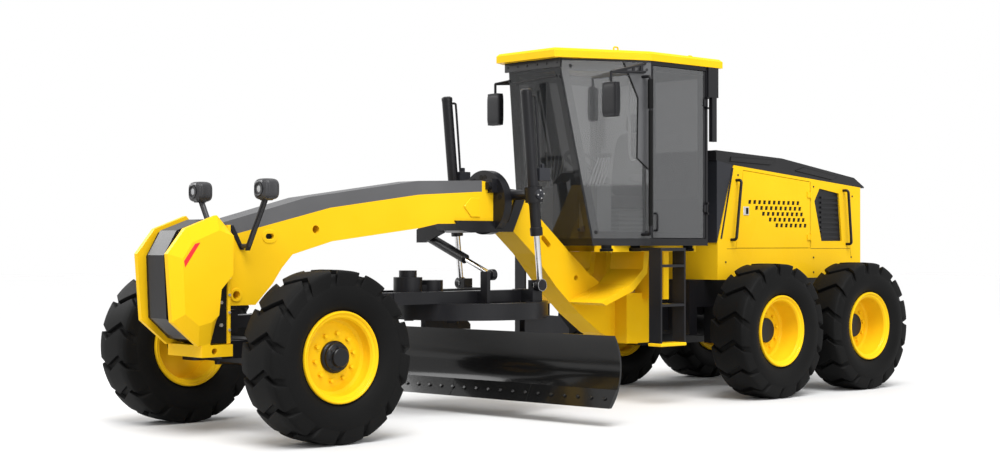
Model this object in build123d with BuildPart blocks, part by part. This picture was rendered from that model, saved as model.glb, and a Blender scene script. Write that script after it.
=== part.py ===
from build123d import *
import os
from math import cos, radians, sin, sqrt

# An articulated motor grader in millimetres: +X forward, +Y left, +Z up, and the origin on the ground
# under the middle of the machine. Outlines along the machine are measured from the front axle.

# Layout of the machine
FRONT_AXLE_X = 3475
WHEELBASE = 6270
TANDEM_SPACING = 1520
TRACK = 2140
JOINT_X = -4750
PIN_GAP = 0.3
RUN_GAP = 6

# Wheels
TYRE_RADIUS = 675
TYRE_WIDTH = 444
TYRE_BULGE = 480
TYRE_SHOULDER = 600
TREAD_INSET = 14
BEAD_INSET = 26
LUGS = 20
WALL_SIDES = 16
LUG_DEPTH = 35
LUG_TIP = 4.3
LUG_ROOT = 5.6
RIM_SEAT = 318
RIM_FLANGE = 358
RIM_WIDTH = 380
RIM_WALL = 22
SPINDLE = 60
HUB_WALL = 45
HUB_CAP = 30
FRONT_DISC = 50
FRONT_HUB = (-60, 180)
REAR_DISC = -70
REAR_HUB = (-130, -10)
DISC_WALL = 25

# Front axle and steering
KINGPIN_Y = 790
KINGPIN = 30
KNUCKLE = 75
AXLE_TOP = 750
AXLE_DEPTH = 150
STEERING_ARM = 220
TIE_ROD = 20
TIE_EYE = (24, 42)

# Front frame
BEAM_HALF = 140
NOSE_BACK = 350
CHEEK = (204, 250, 300)
CORE_HALF = 204
BALL_X = 270
BALL_Z = 920
BALL = 60
TAIL_HALF = 300
JOINT_PIN = 45
JOINT_LUG = 150
LUG_UPPER = (960, 1060)
LUG_LOWER = (550, 650)

# Blade group
CIRCLE_X = -2400
CIRCLE_OUTER = 750
CIRCLE_INNER = 560
CIRCLE_TOP = 1018
CIRCLE_DEPTH = 148
BLADE_ANGLE = 6
BLADE_LENGTH = 3660
BLADE_WALL = 22
BLADE_FACE = [(177, 772), (85, 530), (226, 162)]
EDGE_HEIGHT = 150
EDGE_WALL = 16
RAIL = 25
RAIL_X = 10
RAIL_HEIGHTS = (640, 360)
RAIL_HALF = 1200
RIB_WIDTH = 80
RIB_Z = (360, 430, 500, 570, 640)
PITCH_X = -110
PITCH_Z = 400
PITCH_PIN = 25
BRACKET_Y = (500, 570)
ARM_Y = (590, 650)

# Lift and side shift cylinders
LIFT_Y = 550
LIFT_TOP = (-2630, 2950)
LIFT_FOOT = (-2764, 1630)
LIFT_EYE = (-2811, 1170)
LIFT_BORE = 38
LIFT_WALL = 12
LIFT_ROD = 27
SHIFT_X = -2300
SHIFT_BASE = (-450, 1620)
SHIFT_EYE = (450, 1270)
SHIFT_BORE = 33
SHIFT_WALL = 12
SHIFT_ROD = 22
SHIFT_PIN = 20

# Cab
CAB_BACK = -4920
CAB_HALF = 780
POST_X = -4067
SCREEN_FOOT = (-3550, 1570)
SCREEN_LEAN = 0.1724
SIDE_SLOPE = 0.54
CAB_FLOOR = (1530, 1580)
CAB_TOP = 3310
CAB_WALL = 50
GLASS = 8
GLASS_INSET = 20
ROOF_HEIGHT = 90
DOOR_FRONT = -4095
DOOR_BACK = -4895
DOOR_STEP = 20
DOOR_HEADER = 40
DOOR_WALL = 40
DOOR_BORDER = 45
HANDLE_OUT = 45
HANDLE_SILL = 70
HANDLE_LENGTH = 165
HANDLE_ROD = 10
HINGE_OUT = 12
HINGE_PIN = 9
EAR = 20
RAIL_Y = 550
PANE_SILL = 85
PANE_HEADER = 110
HINGE_SILL = 300
HINGE_HEADER = 320
MIRROR_X = -3530
MIRROR_Y = 800
MIRROR_DROP = 250
MIRROR_HEIGHT = 315
MIRROR_HALF = 90
MIRROR_WALL = 70
MIRROR_ROOTS = (30, 110)
MIRROR_TIP = 150
MIRROR_ROD = 13
ROOF_EYE_X = (-3880, -4980)
ROOF_EYE_Y = 500
ROOF_EYE_SIZE = (30, 50, 8)
DUCT_X = (-5070, CAB_BACK + 5)
DUCT_Y = (735, 795)
DUCT_DROP = 300
DUCT_LENGTH = 440
GRAB_X = -3990
GRAB_OUT = 70
GRAB_SILL = 40
GRAB_HEADER = 120
GRAB_ROD = 15

# Rear frame and hood
RAIL_INNER = 320
RAIL_OUTER = 420
FRAME_TOP = 1180
FRAME_BOTTOM = 900
REAR_END = -7820
HOOD_HALF = 600
HOOD_WALL = 30
ENGINE_HALF = 380
HOOD_DOOR = [(-5705, 2315), (-5585, 1500), (-6862, 1500), (-6862, 2223)]
TANDEM_Y = (600, 800)
TANDEM_HALF = 230
AXLE_Z = TYRE_RADIUS

TANDEM_X = -WHEELBASE
DOOR_SILL = CAB_FLOOR[1] + DOOR_STEP
DOOR_HEAD = CAB_TOP - DOOR_HEADER
CIRCLE_BOTTOM = CIRCLE_TOP - CIRCLE_DEPTH
DECK = CIRCLE_TOP + PIN_GAP
SIDES = {"left": 1, "right": -1}


def station(point):
    return Vector(FRONT_AXLE_X + point[0], point[1], point[2])


def side_plane(y=0):
    return Plane(origin=(FRONT_AXLE_X, y, 0), x_dir=(1, 0, 0), z_dir=(0, -1, 0))


def plan_plane(z):
    return Plane(origin=(FRONT_AXLE_X, 0, z))


def cross_plane(x):
    return Plane(origin=(FRONT_AXLE_X + x, 0, 0), x_dir=(0, 1, 0), z_dir=(1, 0, 0))


def slab(plane, points, amount, both=False, mode=Mode.ADD):
    with BuildSketch(plane) as outline:
        with BuildLine():
            Polyline(*points, close=True)
        make_face()
    extrude(outline.sketch, amount=amount, both=both, mode=mode)


def side_slab(points, y_from, y_to, mode=Mode.ADD):
    slab(side_plane(max(y_from, y_to)), points, abs(y_to - y_from), mode=mode)


def block(x_span, y_span, z_span, mode=Mode.ADD):
    spans = (x_span, y_span, z_span)
    middle = [(low + high) / 2 for low, high in spans]
    with Locations(station(middle)):
        Box(*[abs(high - low) for low, high in spans], mode=mode)


def bar(start, end, radius, mode=Mode.ADD):
    along = station(end) - station(start)
    with BuildSketch(Plane(origin=station(start), z_dir=along)) as section:
        Circle(radius)
    extrude(section.sketch, amount=along.length, mode=mode)


def pipe(points, radius, bend):
    with BuildLine() as path:
        FilletPolyline(*[station(p) for p in points], radius=bend)
    with BuildSketch(Plane(origin=path.line @ 0, z_dir=path.line % 0)) as section:
        Circle(radius)
    sweep(section.sketch, path=path.line)


def write(piece, name):
    piece.part.label = name
    export_step(piece.part, f"parts/{name}.step")


os.makedirs("parts", exist_ok=True)

# Wheels: a tyre and a dished rim with its hub on each of the six spindles


def turned(x, y, side, outline):
    middle = station((x, y, TYRE_RADIUS))
    plane = Plane(origin=middle, x_dir=(1, 0, 0), z_dir=(0, 0, 1))
    with BuildSketch(plane) as section:
        with BuildLine():
            Polyline(*[(r, side * a) for r, a in outline], close=True)
        make_face()
    revolve(section.sketch, axis=Axis(middle, (0, 1, 0)))


def tread_outline(turn):
    """Flat-topped lugs round the axle, each flat one tyre radius away, with the roots between them."""
    tip = TYRE_RADIUS / cos(radians(LUG_TIP))
    root = TYRE_RADIUS - LUG_DEPTH
    corners = []
    for lug in range(LUGS):
        for radius, angle in ((root, -LUG_ROOT), (tip, -LUG_TIP), (tip, LUG_TIP), (root, LUG_ROOT)):
            bearing = radians(turn + angle + lug * 360 / LUGS)
            corners.append((radius * cos(bearing), radius * sin(bearing)))
    return corners


def wheel_plane(x, y):
    return Plane(origin=station((x, y, TYRE_RADIUS)), x_dir=(1, 0, 0), z_dir=(0, 1, 0))


def sidewall(x, rings, mode):
    """A cone of flat faces between two rings, each given by its place across the machine and its radius."""
    (near_y, near), (far_y, far) = rings
    bearings = [radians(360 * (i + 0.5) / WALL_SIDES) for i in range(WALL_SIDES)]
    loops = []
    for y, radius in ((near_y, near), (far_y, far)):
        reach = radius / cos(radians(180 / WALL_SIDES))
        loops.append([station((x + reach * cos(t), y, TYRE_RADIUS + reach * sin(t))) for t in bearings])
    faces = [Face(Wire.make_polygon(loop)) for loop in loops]
    for i in range(WALL_SIDES):
        j = (i + 1) % WALL_SIDES
        faces.append(Face(Wire.make_polygon([loops[0][i], loops[0][j], loops[1][j], loops[1][i]])))
    cone = Solid(Shell(faces))
    add(cone.fix(), mode=mode)


def make_wheel(name, x, side, disc, hub):
    y = side * TRACK / 2
    half = TYRE_WIDTH / 2
    bead = RIM_WIDTH / 2 - BEAD_INSET
    with BuildPart() as tyre:
        for way, turn in ((1, 0), (-1, 180 / LUGS)):
            slab(wheel_plane(x, y), tread_outline(turn), way * (half - TREAD_INSET))
        for way in SIDES.values():
            bulge = (y + way * half, TYRE_BULGE)
            sidewall(x, [(y + way * (half - TREAD_INSET), TYRE_SHOULDER), bulge], Mode.ADD)
            sidewall(x, [(y + way * bead, RIM_FLANGE + RUN_GAP), bulge], Mode.SUBTRACT)
        sidewall(x, [(y - half, RIM_SEAT + PIN_GAP), (y + half, RIM_SEAT + PIN_GAP)], Mode.SUBTRACT)
    write(tyre, f"tyre_{name}")
    edge = RIM_WIDTH / 2
    lip = bead + 3
    inside = RIM_SEAT - RIM_WALL
    bore = SPINDLE + PIN_GAP
    with BuildPart() as rim:
        outline = [(RIM_FLANGE, -edge), (RIM_FLANGE, -lip), (RIM_SEAT, -lip), (RIM_SEAT, lip)]
        outline += [(RIM_FLANGE, lip), (RIM_FLANGE, edge), (inside, edge), (inside, disc + DISC_WALL)]
        outline += [(SPINDLE + HUB_WALL, disc + DISC_WALL), (SPINDLE + HUB_WALL, hub[1]), (0, hub[1])]
        outline += [(0, hub[1] - HUB_CAP), (bore, hub[1] - HUB_CAP), (bore, hub[0])]
        outline += [(SPINDLE + HUB_WALL, hub[0]), (SPINDLE + HUB_WALL, disc), (inside, disc), (inside, -edge)]
        turned(x, y, side, outline)
    write(rim, f"rim_{name}")


REAR_STATIONS = {"middle": TANDEM_X + TANDEM_SPACING / 2, "rear": TANDEM_X - TANDEM_SPACING / 2}
for hand, side in SIDES.items():
    make_wheel(f"front_{hand}", 0, side, FRONT_DISC, FRONT_HUB)
    for place, x in REAR_STATIONS.items():
        make_wheel(f"{place}_{hand}", x, side, REAR_DISC, REAR_HUB)

# Front axle: a beam with a boss for each kingpin, and the housing that meets the nose foot
AXLE_SPAN = (AXLE_TOP - AXLE_DEPTH, AXLE_TOP)
FOOT_BACK = 330
with BuildPart() as front_axle:
    block((-110, 110), (-560, 560), (AXLE_SPAN[0] - 30, AXLE_SPAN[1] + 20))
    block((100, FOOT_BACK), (-90, 90), (AXLE_SPAN[0] + 20, AXLE_SPAN[1] + 10))
    for side in SIDES.values():
        block((-60, 60), (side * 500, side * KINGPIN_Y), AXLE_SPAN)
        bar((0, side * KINGPIN_Y, AXLE_SPAN[0]), (0, side * KINGPIN_Y, AXLE_SPAN[1]), KNUCKLE)
        bar((0, side * KINGPIN_Y, 0), (0, side * KINGPIN_Y, 2000), KINGPIN + PIN_GAP, Mode.SUBTRACT)
write(front_axle, "front_axle")

# Knuckles: lugs above and below the axle boss, the kingpin, the spindle and the steering arm
LUG_TOP = (AXLE_SPAN[1] + 5, AXLE_SPAN[1] + 50)
LUG_LOW = (AXLE_SPAN[0] - 50, AXLE_SPAN[0] - 5)
YOKE_Y = (KINGPIN_Y + KNUCKLE + 10, KINGPIN_Y + KNUCKLE + 50)
for hand, side in SIDES.items():
    with BuildPart() as knuckle:
        pivot = side * KINGPIN_Y
        for lug in (LUG_TOP, LUG_LOW):
            bar((0, pivot, lug[0]), (0, pivot, lug[1]), KNUCKLE)
            block((-KNUCKLE, KNUCKLE), (pivot, side * YOKE_Y[1]), lug)
        bar((0, pivot, LUG_LOW[0]), (0, pivot, LUG_TOP[1]), KINGPIN)
        block((-KNUCKLE, KNUCKLE), (side * YOKE_Y[0], side * YOKE_Y[1]), (LUG_LOW[0], LUG_TOP[1]))
        spindle_end = side * (TRACK / 2 + FRONT_HUB[1] - HUB_CAP - RUN_GAP)
        bar((0, side * YOKE_Y[0], AXLE_Z), (0, spindle_end, AXLE_Z), SPINDLE)
        block((-STEERING_ARM, 0), (pivot - 30, pivot + 30), LUG_LOW)
        bar((-STEERING_ARM, pivot, LUG_LOW[0]), (-STEERING_ARM, pivot, LUG_LOW[1]), 40)
    write(knuckle, f"knuckle_{hand}")

# Tie rod: an eye under each steering arm, with a bolt that stays clear of the arm
TIE_TOP = LUG_LOW[0] - PIN_GAP
TIE_Z = TIE_TOP - TIE_EYE[0]
with BuildPart() as tie_rod:
    bar((-STEERING_ARM, -KINGPIN_Y, TIE_Z), (-STEERING_ARM, KINGPIN_Y, TIE_Z), TIE_ROD)
    for side in SIDES.values():
        end = (-STEERING_ARM, side * KINGPIN_Y)
        bar((*end, TIE_Z - TIE_EYE[0]), (*end, TIE_TOP), TIE_EYE[1])
write(tie_rod, "tie_rod")

# Front frame: the arched beam, its deep head, the cab outriggers and the lugs of the frame joint
BEAM_TOP = [(NOSE_BACK, 1601), (-720, 1855), (-1700, 1986), (-2460, 2030)]
BEAM_BACK = [(-2460, 2130), (-2700, 2090), (-3020, 1953), (-3220, 1783), (-3590, 1481), (-3880, 1255)]
BEAM_TAIL = [(-4180, 1080), (-4590, LUG_UPPER[1]), (-4590, 535), (-4330, 560), (-4040, 667)]
BEAM_LOW = [(-3745, 864), (-3430, 1130), (-3120, 1454), (-2850, 1671), (-2460, 1735), (-1930, 1730)]
BEAM_HEAD = [(-1700, 1687), (-740, 1570), (-330, 1460), (-220, 1346), (-130, 1220), (-10, 1100)]
HEAD_FOOT = 1050
BEAM_SLOT = (-3288, 1570, 150, 50, 42)
OUTRIGGER = [(-3600, 985), (-3660, 960), (-4040, 1090), (-4240, 1260), (-4270, 1470), (-4200, 1470)]
OUTRIGGER += [(-4180, 1300), (-4000, 1150), (-3660, 1020)]
BEAM_EDGE = BEAM_TOP + BEAM_BACK + BEAM_TAIL + BEAM_LOW + BEAM_HEAD
BEAM_EDGE += [(40, HEAD_FOOT), (NOSE_BACK, HEAD_FOOT)]
with BuildPart() as front_frame:
    side_slab(BEAM_EDGE, -BEAM_HALF, BEAM_HALF)
    block((-4590, -4250), (-TAIL_HALF, TAIL_HALF), (560, LUG_UPPER[1]))
    for lug in (LUG_UPPER, LUG_LOWER):
        block((JOINT_X, -4590), (-JOINT_LUG, JOINT_LUG), lug)
        bar((JOINT_X, 0, lug[0]), (JOINT_X, 0, lug[1]), JOINT_LUG)
    bar((JOINT_X, 0, 0), (JOINT_X, 0, 1400), JOINT_PIN + PIN_GAP, Mode.SUBTRACT)
    for side in SIDES.values():
        side_slab(OUTRIGGER, side * BEAM_HALF, side * (RAIL_Y + 30))
        block((-4560, -4480), (side * 200, side * (RAIL_Y + 30)), (1000, 1470))
        block((-4950, -3580), (side * (RAIL_Y - 50), side * (RAIL_Y + 50)), (1470, CAB_FLOOR[0]))
    bar((230, -400, 1135), (230, 400, 1135), 32, Mode.SUBTRACT)
    bar((-570, -400, 1670), (-570, 400, 1670), 35, Mode.SUBTRACT)
    block((-150, -50), (-400, 400), (1570, 1650), Mode.SUBTRACT)
    bar((-3698, -400, 1215), (-3698, 400, 1215), 26, Mode.SUBTRACT)
    with BuildSketch(side_plane()) as slot:
        with Locations(BEAM_SLOT[:2]):
            SlotOverall(*BEAM_SLOT[2:4], rotation=BEAM_SLOT[4])
    extrude(slot.sketch, amount=400, both=True, mode=Mode.SUBTRACT)
write(front_frame, "front_frame")

# Dark plate along the top of the beam
TOP_EDGE = [(-2460, 2133), (-1700, 2110), (-490, 1942), (NOSE_BACK, 1722)]
with BuildPart() as frame_top:
    side_slab(BEAM_TOP + TOP_EDGE, -BEAM_HALF, BEAM_HALF)
write(frame_top, "frame_top")

# Nose: two bulging cheeks joined by a foot, round a dark core that carries the drawbar's ball
CHEEK_EDGE = [(NOSE_BACK, 1640), (480, 1776), (770, 1670), (930, 1470), (890, 940), (650, 740)]
CHEEK_EDGE += [(540, 760), (480, 960), (460, 1180), (NOSE_BACK, 1290)]
FACE_EDGE = [(354, 1612), (492, 1655), (735, 1560), (822, 1435), (800, 1000), (672, 905)]
FACE_EDGE += [(556, 930), (490, 985), (468, 1188), (360, 1302)]
FOOT = (650, 745)
TOW_PIN = (500, 695)
TOW_BORE = 26
with BuildPart() as nose_cheeks:
    for side in SIDES.values():
        side_slab(CHEEK_EDGE, side * CHEEK[0], side * CHEEK[1])
        facets = []
        for y, outline in ((side * CHEEK[1], CHEEK_EDGE), (side * CHEEK[2], FACE_EDGE)):
            with BuildSketch(side_plane(y)) as facet:
                with BuildLine():
                    Polyline(*outline, close=True)
                make_face()
            facets.append(facet.sketch.face())
        loft(facets, ruled=True)
    block((FOOT_BACK, 620), (-CHEEK[1], CHEEK[1]), FOOT)
    for side in SIDES.values():
        block((540, 620), (side * CHEEK[0], side * CHEEK[1]), (FOOT[0], 800))
    bar((TOW_PIN[0], -400, TOW_PIN[1]), (TOW_PIN[0], 400, TOW_PIN[1]), TOW_BORE, Mode.SUBTRACT)
write(nose_cheeks, "nose_cheeks")

CORE_EDGE = [(NOSE_BACK, 1640), (470, 1740), (740, 1640), (850, 1450), (830, 960), (650, 790)]
CORE_EDGE += [(500, FOOT[1]), (480, 960), (460, 1180), (NOSE_BACK, 1290)]
CORE_RIDGE = [(520, 1690), (520, 1745), (770, 1655), (885, 1460), (860, 960), (700, 820), (640, 900)]
RIDGE_HALF = 120
with BuildPart() as nose_core:
    side_slab(CORE_EDGE, -CORE_HALF, CORE_HALF)
    side_slab(CORE_RIDGE, -RIDGE_HALF, RIDGE_HALF)
    bar((BALL_X, 0, BALL_Z), (500, 0, BALL_Z), 34)
    with Locations(station((BALL_X, 0, BALL_Z))):
        Sphere(BALL)
write(nose_core, "nose_core")

# Headlamps on bent posts from the sides of the beam's head
LAMP = (170, 484, 1985)
LAMP_BOX = (130, 170, 140)
LAMP_ROUND = 45
with BuildPart() as headlamps:
    for side in SIDES.values():
        pipe(
            [
                (LAMP[0], side * BEAM_HALF, 1530),
                (LAMP[0], side * 230, 1530),
                (LAMP[0], side * LAMP[1], LAMP[2] - 40),
            ],
            20,
            60,
        )
        with BuildPart(mode=Mode.PRIVATE) as housing:
            Box(*LAMP_BOX)
            fillet(housing.edges(), LAMP_ROUND)
        with Locations(station((LAMP[0], side * LAMP[1], LAMP[2]))):
            add(housing.part)
write(headlamps, "headlamps")

# Saddle: a lock ring, a trough and a band round the beam, arms with collars for the lift cylinders
LIFT_AXIS = (LIFT_TOP[0] - LIFT_FOOT[0], LIFT_TOP[1] - LIFT_FOOT[1])
COLLAR_Z = 2000
LIFT_OUTER = LIFT_BORE + LIFT_WALL


def lift_point(z, side):
    share = (z - LIFT_FOOT[1]) / LIFT_AXIS[1]
    return (LIFT_FOOT[0] + share * LIFT_AXIS[0], side * LIFT_Y, z)


RING_X = (-2690, -2600)
RING_Z = 1935
RING = 300
PLATE = 30
TROUGH = [(-2116, 1760), (-2191, 1670), (-2300, 1650), (-2691, 1660), (-2828, 1660), (-2840, 1720)]
TROUGH.append((-2731, 1760))
BAND = [(-2731, 1680), (-2828, 1660), (-2985, 1975), (-2950, 2050), (-2690, 2070), (-2660, 1990)]
BAND.append((-2863, 1960))
COLLAR_HALF = 70
COLLAR_WALL = 32
ARM = 48
SHIFT_PLATE = (SHIFT_X + SHIFT_BORE + SHIFT_WALL + 5, SHIFT_X + SHIFT_BORE + SHIFT_WALL + 30)
with BuildPart() as saddle:
    bar((RING_X[0], 0, RING_Z), (RING_X[1], 0, RING_Z), RING)
    side_slab(TROUGH, -BEAM_HALF - PLATE, BEAM_HALF + PLATE)
    side_slab(BAND, -BEAM_HALF - PLATE, BEAM_HALF + PLATE)
    for side in SIDES.values():
        arm = lift_point(COLLAR_Z, side)
        bar((arm[0], side * BEAM_HALF, COLLAR_Z), arm, ARM)
        collar_ends = (lift_point(COLLAR_Z + way * COLLAR_HALF, side) for way in (-1, 1))
        bar(*collar_ends, LIFT_OUTER + COLLAR_WALL)
    slab(
        cross_plane(SHIFT_PLATE[0]),
        [
            (-BEAM_HALF, 1860),
            (-BEAM_HALF - PLATE, 1860),
            (-520, 1680),
            (-520, 1560),
            (-400, 1560),
            (-BEAM_HALF, 1650),
        ],
        SHIFT_PLATE[1] - SHIFT_PLATE[0],
    )
    bar((SHIFT_PLATE[1], *SHIFT_BASE), (SHIFT_X - 32, *SHIFT_BASE), SHIFT_PIN)
    for side in SIDES.values():
        bore = LIFT_OUTER + PIN_GAP
        bar(lift_point(COLLAR_Z - 200, side), lift_point(COLLAR_Z + 200, side), bore, Mode.SUBTRACT)
    side_slab(BEAM_EDGE, -BEAM_HALF, BEAM_HALF, Mode.SUBTRACT)
write(saddle, "saddle")

# Lift cylinders: barrels in the saddle's collars, rods that follow the drawbar
with BuildPart() as lift_barrels:
    for side in SIDES.values():
        foot = lift_point(LIFT_FOOT[1], side)
        top = lift_point(LIFT_TOP[1], side)
        bar(foot, top, LIFT_OUTER)
        bar(lift_point(LIFT_FOOT[1] + 45, side), lift_point(LIFT_TOP[1] - 40, side), LIFT_BORE, Mode.SUBTRACT)
        bar(lift_point(LIFT_FOOT[1] - 10, side), lift_point(1800, side), LIFT_ROD + PIN_GAP, Mode.SUBTRACT)
write(lift_barrels, "lift_barrels")

LIFT_ROD_TOP = 2545
EYE_HALF = 30
for hand, side in SIDES.items():
    with BuildPart() as lift_rod:
        bar(lift_point(LIFT_EYE[1], side), lift_point(LIFT_ROD_TOP, side), LIFT_ROD)
        eye = lift_point(LIFT_EYE[1], side)
        bar((eye[0], eye[1] - EYE_HALF, eye[2]), (eye[0], eye[1] + EYE_HALF, eye[2]), 55)
    write(lift_rod, f"lift_rod_{hand}")

# Side shift cylinder: from the saddle's right side down to the drawbar's left post
SHIFT_RUN = Vector(0, SHIFT_EYE[0] - SHIFT_BASE[0], SHIFT_EYE[1] - SHIFT_BASE[1])
SHIFT_LENGTH = SHIFT_RUN.length


def shift_point(along):
    share = along / SHIFT_LENGTH
    return (SHIFT_X, SHIFT_BASE[0] + share * SHIFT_RUN.Y, SHIFT_BASE[1] + share * SHIFT_RUN.Z)


SHIFT_BARREL = 580
with BuildPart() as shift_barrel:
    bar((SHIFT_X - 30, *SHIFT_BASE), (SHIFT_X + 30, *SHIFT_BASE), SHIFT_BORE + SHIFT_WALL)
    bar(shift_point(0), shift_point(SHIFT_BARREL), SHIFT_BORE + SHIFT_WALL)
    bar(shift_point(60), shift_point(SHIFT_BARREL - 40), SHIFT_BORE, Mode.SUBTRACT)
    bar(shift_point(100), shift_point(SHIFT_BARREL + 10), SHIFT_ROD + PIN_GAP, Mode.SUBTRACT)
    bar((SHIFT_X - 60, *SHIFT_BASE), (SHIFT_X + 60, *SHIFT_BASE), SHIFT_PIN + PIN_GAP, Mode.SUBTRACT)
write(shift_barrel, "shift_barrel")

with BuildPart() as shift_rod:
    bar(shift_point(200), shift_point(SHIFT_LENGTH), SHIFT_ROD)
    bar((SHIFT_X - 25, *SHIFT_EYE), (SHIFT_X + 25, *SHIFT_EYE), 48)
write(shift_rod, "shift_rod")

# Drawbar: a tongue with the ball's socket, two beams, a deck over the circle and the cylinder lugs
BEAM_Y = (240, 360)
BEAM_Z = (DECK, 1125)
TONGUE_BACK = -1250
SOCKET = 92
SHOE = (500, 540)
SHOE_REACH = 582
SHOE_WIDTH = 90
SHOE_ANGLES = (35, 145, 215, 325)
LIFT_LUG_Y = LIFT_Y - EYE_HALF - 5
with BuildPart() as drawbar:
    tongue = [(200, 865), (200, 965), (-300, 975)]
    tongue += [(TONGUE_BACK, BEAM_Z[1]), (TONGUE_BACK, BEAM_Z[0]), (-300, 870)]
    side_slab(tongue, -70, 70)
    for side in SIDES.values():
        slab(
            plan_plane(BEAM_Z[0]),
            [
                (-900, 0),
                (-900, side * 70),
                (TONGUE_BACK, side * BEAM_Y[1]),
                (TONGUE_BACK, side * BEAM_Y[0]),
                (-1050, 0),
            ],
            BEAM_Z[1] - BEAM_Z[0],
        )
        block((-2880, TONGUE_BACK + 10), (side * BEAM_Y[0], side * BEAM_Y[1]), BEAM_Z)
        block((-2870, -2750), (side * BEAM_Y[0], side * LIFT_LUG_Y), (BEAM_Z[0], 1130))
        block((-2865, -2757), (side * (LIFT_LUG_Y - 70), side * LIFT_LUG_Y), (BEAM_Z[0], LIFT_EYE[1] + 45))
    block((-2880, -1500), (-BEAM_Y[1], BEAM_Y[1]), (DECK, DECK + 30))
    lug_x = (SHIFT_X + 25 + 30, SHIFT_X + 25 + 70)
    block(lug_x, (BEAM_Y[0], SHIFT_EYE[0] + 40), (BEAM_Z[0], 1120))
    block(lug_x, (SHIFT_EYE[0] - 50, SHIFT_EYE[0] + 40), (BEAM_Z[0], SHIFT_EYE[1] + 30))
    block((BALL_X - SOCKET, BALL_X + 25), (-SOCKET, SOCKET), (BALL_Z - SOCKET, BALL_Z + SOCKET))
    with Locations(station((BALL_X, 0, BALL_Z))):
        Sphere(BALL + PIN_GAP, mode=Mode.SUBTRACT)
    for angle in SHOE_ANGLES:
        with Locations(Location(station((CIRCLE_X, 0, 0)), (0, 0, angle))):
            with Locations(((SHOE[0] + SHOE[1]) / 2, 0, (CIRCLE_BOTTOM - 30 + DECK) / 2)):
                Box(SHOE[1] - SHOE[0], SHOE_WIDTH, DECK - CIRCLE_BOTTOM + 30)
            with Locations(((SHOE[0] + SHOE_REACH) / 2, 0, CIRCLE_BOTTOM - 5 - 12.5)):
                Box(SHOE_REACH - SHOE[0], SHOE_WIDTH, 25)
write(drawbar, "drawbar")

# Circle drive: a gearbox drum and its motor on the deck
with BuildPart() as circle_drive:
    bar((-1690, 0, DECK + 30), (-1690, 0, 1250), 130)
    bar((-1690, 0, 1250), (-1690, 0, 1310), 80)
    bar((-1960, 0, DECK + 30), (-1960, 0, 1220), 110)
    block((-1960, -1690), (-60, 60), (DECK + 30, 1180))
write(circle_drive, "circle_drive")

# Circle: a ring with two arms that reach down to the blade's pitch pins
CIRCLE_TURN = (cos(radians(BLADE_ANGLE)), sin(radians(BLADE_ANGLE)), 0)


def blade_side(y):
    """A plane across the blade, y along it from the circle's axis, with x ahead and y up."""
    normal = (CIRCLE_TURN[1], -CIRCLE_TURN[0], 0)
    origin = station((CIRCLE_X - y * CIRCLE_TURN[1], y * CIRCLE_TURN[0], 0))
    return Plane(origin=origin, x_dir=CIRCLE_TURN, z_dir=normal)


def blade_slab(points, y_from, y_to, mode=Mode.ADD):
    slab(blade_side(max(y_from, y_to)), points, abs(y_to - y_from), mode=mode)


def blade_bar(x, z, y_from, y_to, radius, mode=Mode.ADD):
    with BuildSketch(blade_side(max(y_from, y_to))) as section:
        with Locations((x, z)):
            Circle(radius)
    extrude(section.sketch, amount=abs(y_to - y_from), mode=mode)


ARM_EDGE = [(-60, CIRCLE_BOTTOM + 20), (-60, 520), (PITCH_X + 60, 350), (PITCH_X - 60, 340)]
ARM_EDGE += [(PITCH_X - 120, 520), (-420, 650), (-700, 660), (-700, 760), (-560, 880)]
ARM_EDGE += [(-440, CIRCLE_BOTTOM + 20)]
with BuildPart() as circle:
    bar((CIRCLE_X, 0, CIRCLE_BOTTOM), (CIRCLE_X, 0, CIRCLE_TOP), CIRCLE_OUTER)
    bar((CIRCLE_X, 0, CIRCLE_BOTTOM - 10), (CIRCLE_X, 0, CIRCLE_TOP + 10), CIRCLE_INNER, Mode.SUBTRACT)
    for side in SIDES.values():
        blade_slab(ARM_EDGE, side * ARM_Y[0], side * ARM_Y[1])
        blade_bar(PITCH_X, PITCH_Z, side * (BRACKET_Y[0] - 5), side * ARM_Y[1], PITCH_PIN)
write(circle, "circle")

# Tilt brackets: one on each pitch pin, tied by a tube, with a bore for each of the blade's rails
BRACKET_EDGE = [(PITCH_X - 55, 350), (PITCH_X - 55, 450), (-60, 690), (50, 690), (50, 590), (-30, 480)]
BRACKET_EDGE += [(50, 410), (50, 310), (-40, 310)]
with BuildPart() as tilt_brackets:
    for side in SIDES.values():
        blade_slab(BRACKET_EDGE, side * BRACKET_Y[0], side * BRACKET_Y[1])
    blade_bar(-75, 540, -BRACKET_Y[0] - 10, BRACKET_Y[0] + 10, 32)
    for z in RAIL_HEIGHTS:
        blade_bar(RAIL_X, z, -BRACKET_Y[1] - 50, BRACKET_Y[1] + 50, RAIL + PIN_GAP, Mode.SUBTRACT)
    blade_bar(PITCH_X, PITCH_Z, -BRACKET_Y[1] - 50, BRACKET_Y[1] + 50, PITCH_PIN + PIN_GAP, Mode.SUBTRACT)
write(tilt_brackets, "tilt_brackets")

# Blade: a curved plate with a bolted cutting edge, end ribs and the two rails it shifts on
BLADE_CURVE = ThreePointArc(*BLADE_FACE, mode=Mode.PRIVATE)
CURVE_X = BLADE_CURVE.arc_center.X
CURVE_Z = BLADE_CURVE.arc_center.Y


def face_x(z):
    return CURVE_X - sqrt(BLADE_CURVE.radius**2 - (z - CURVE_Z) ** 2)


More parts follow.
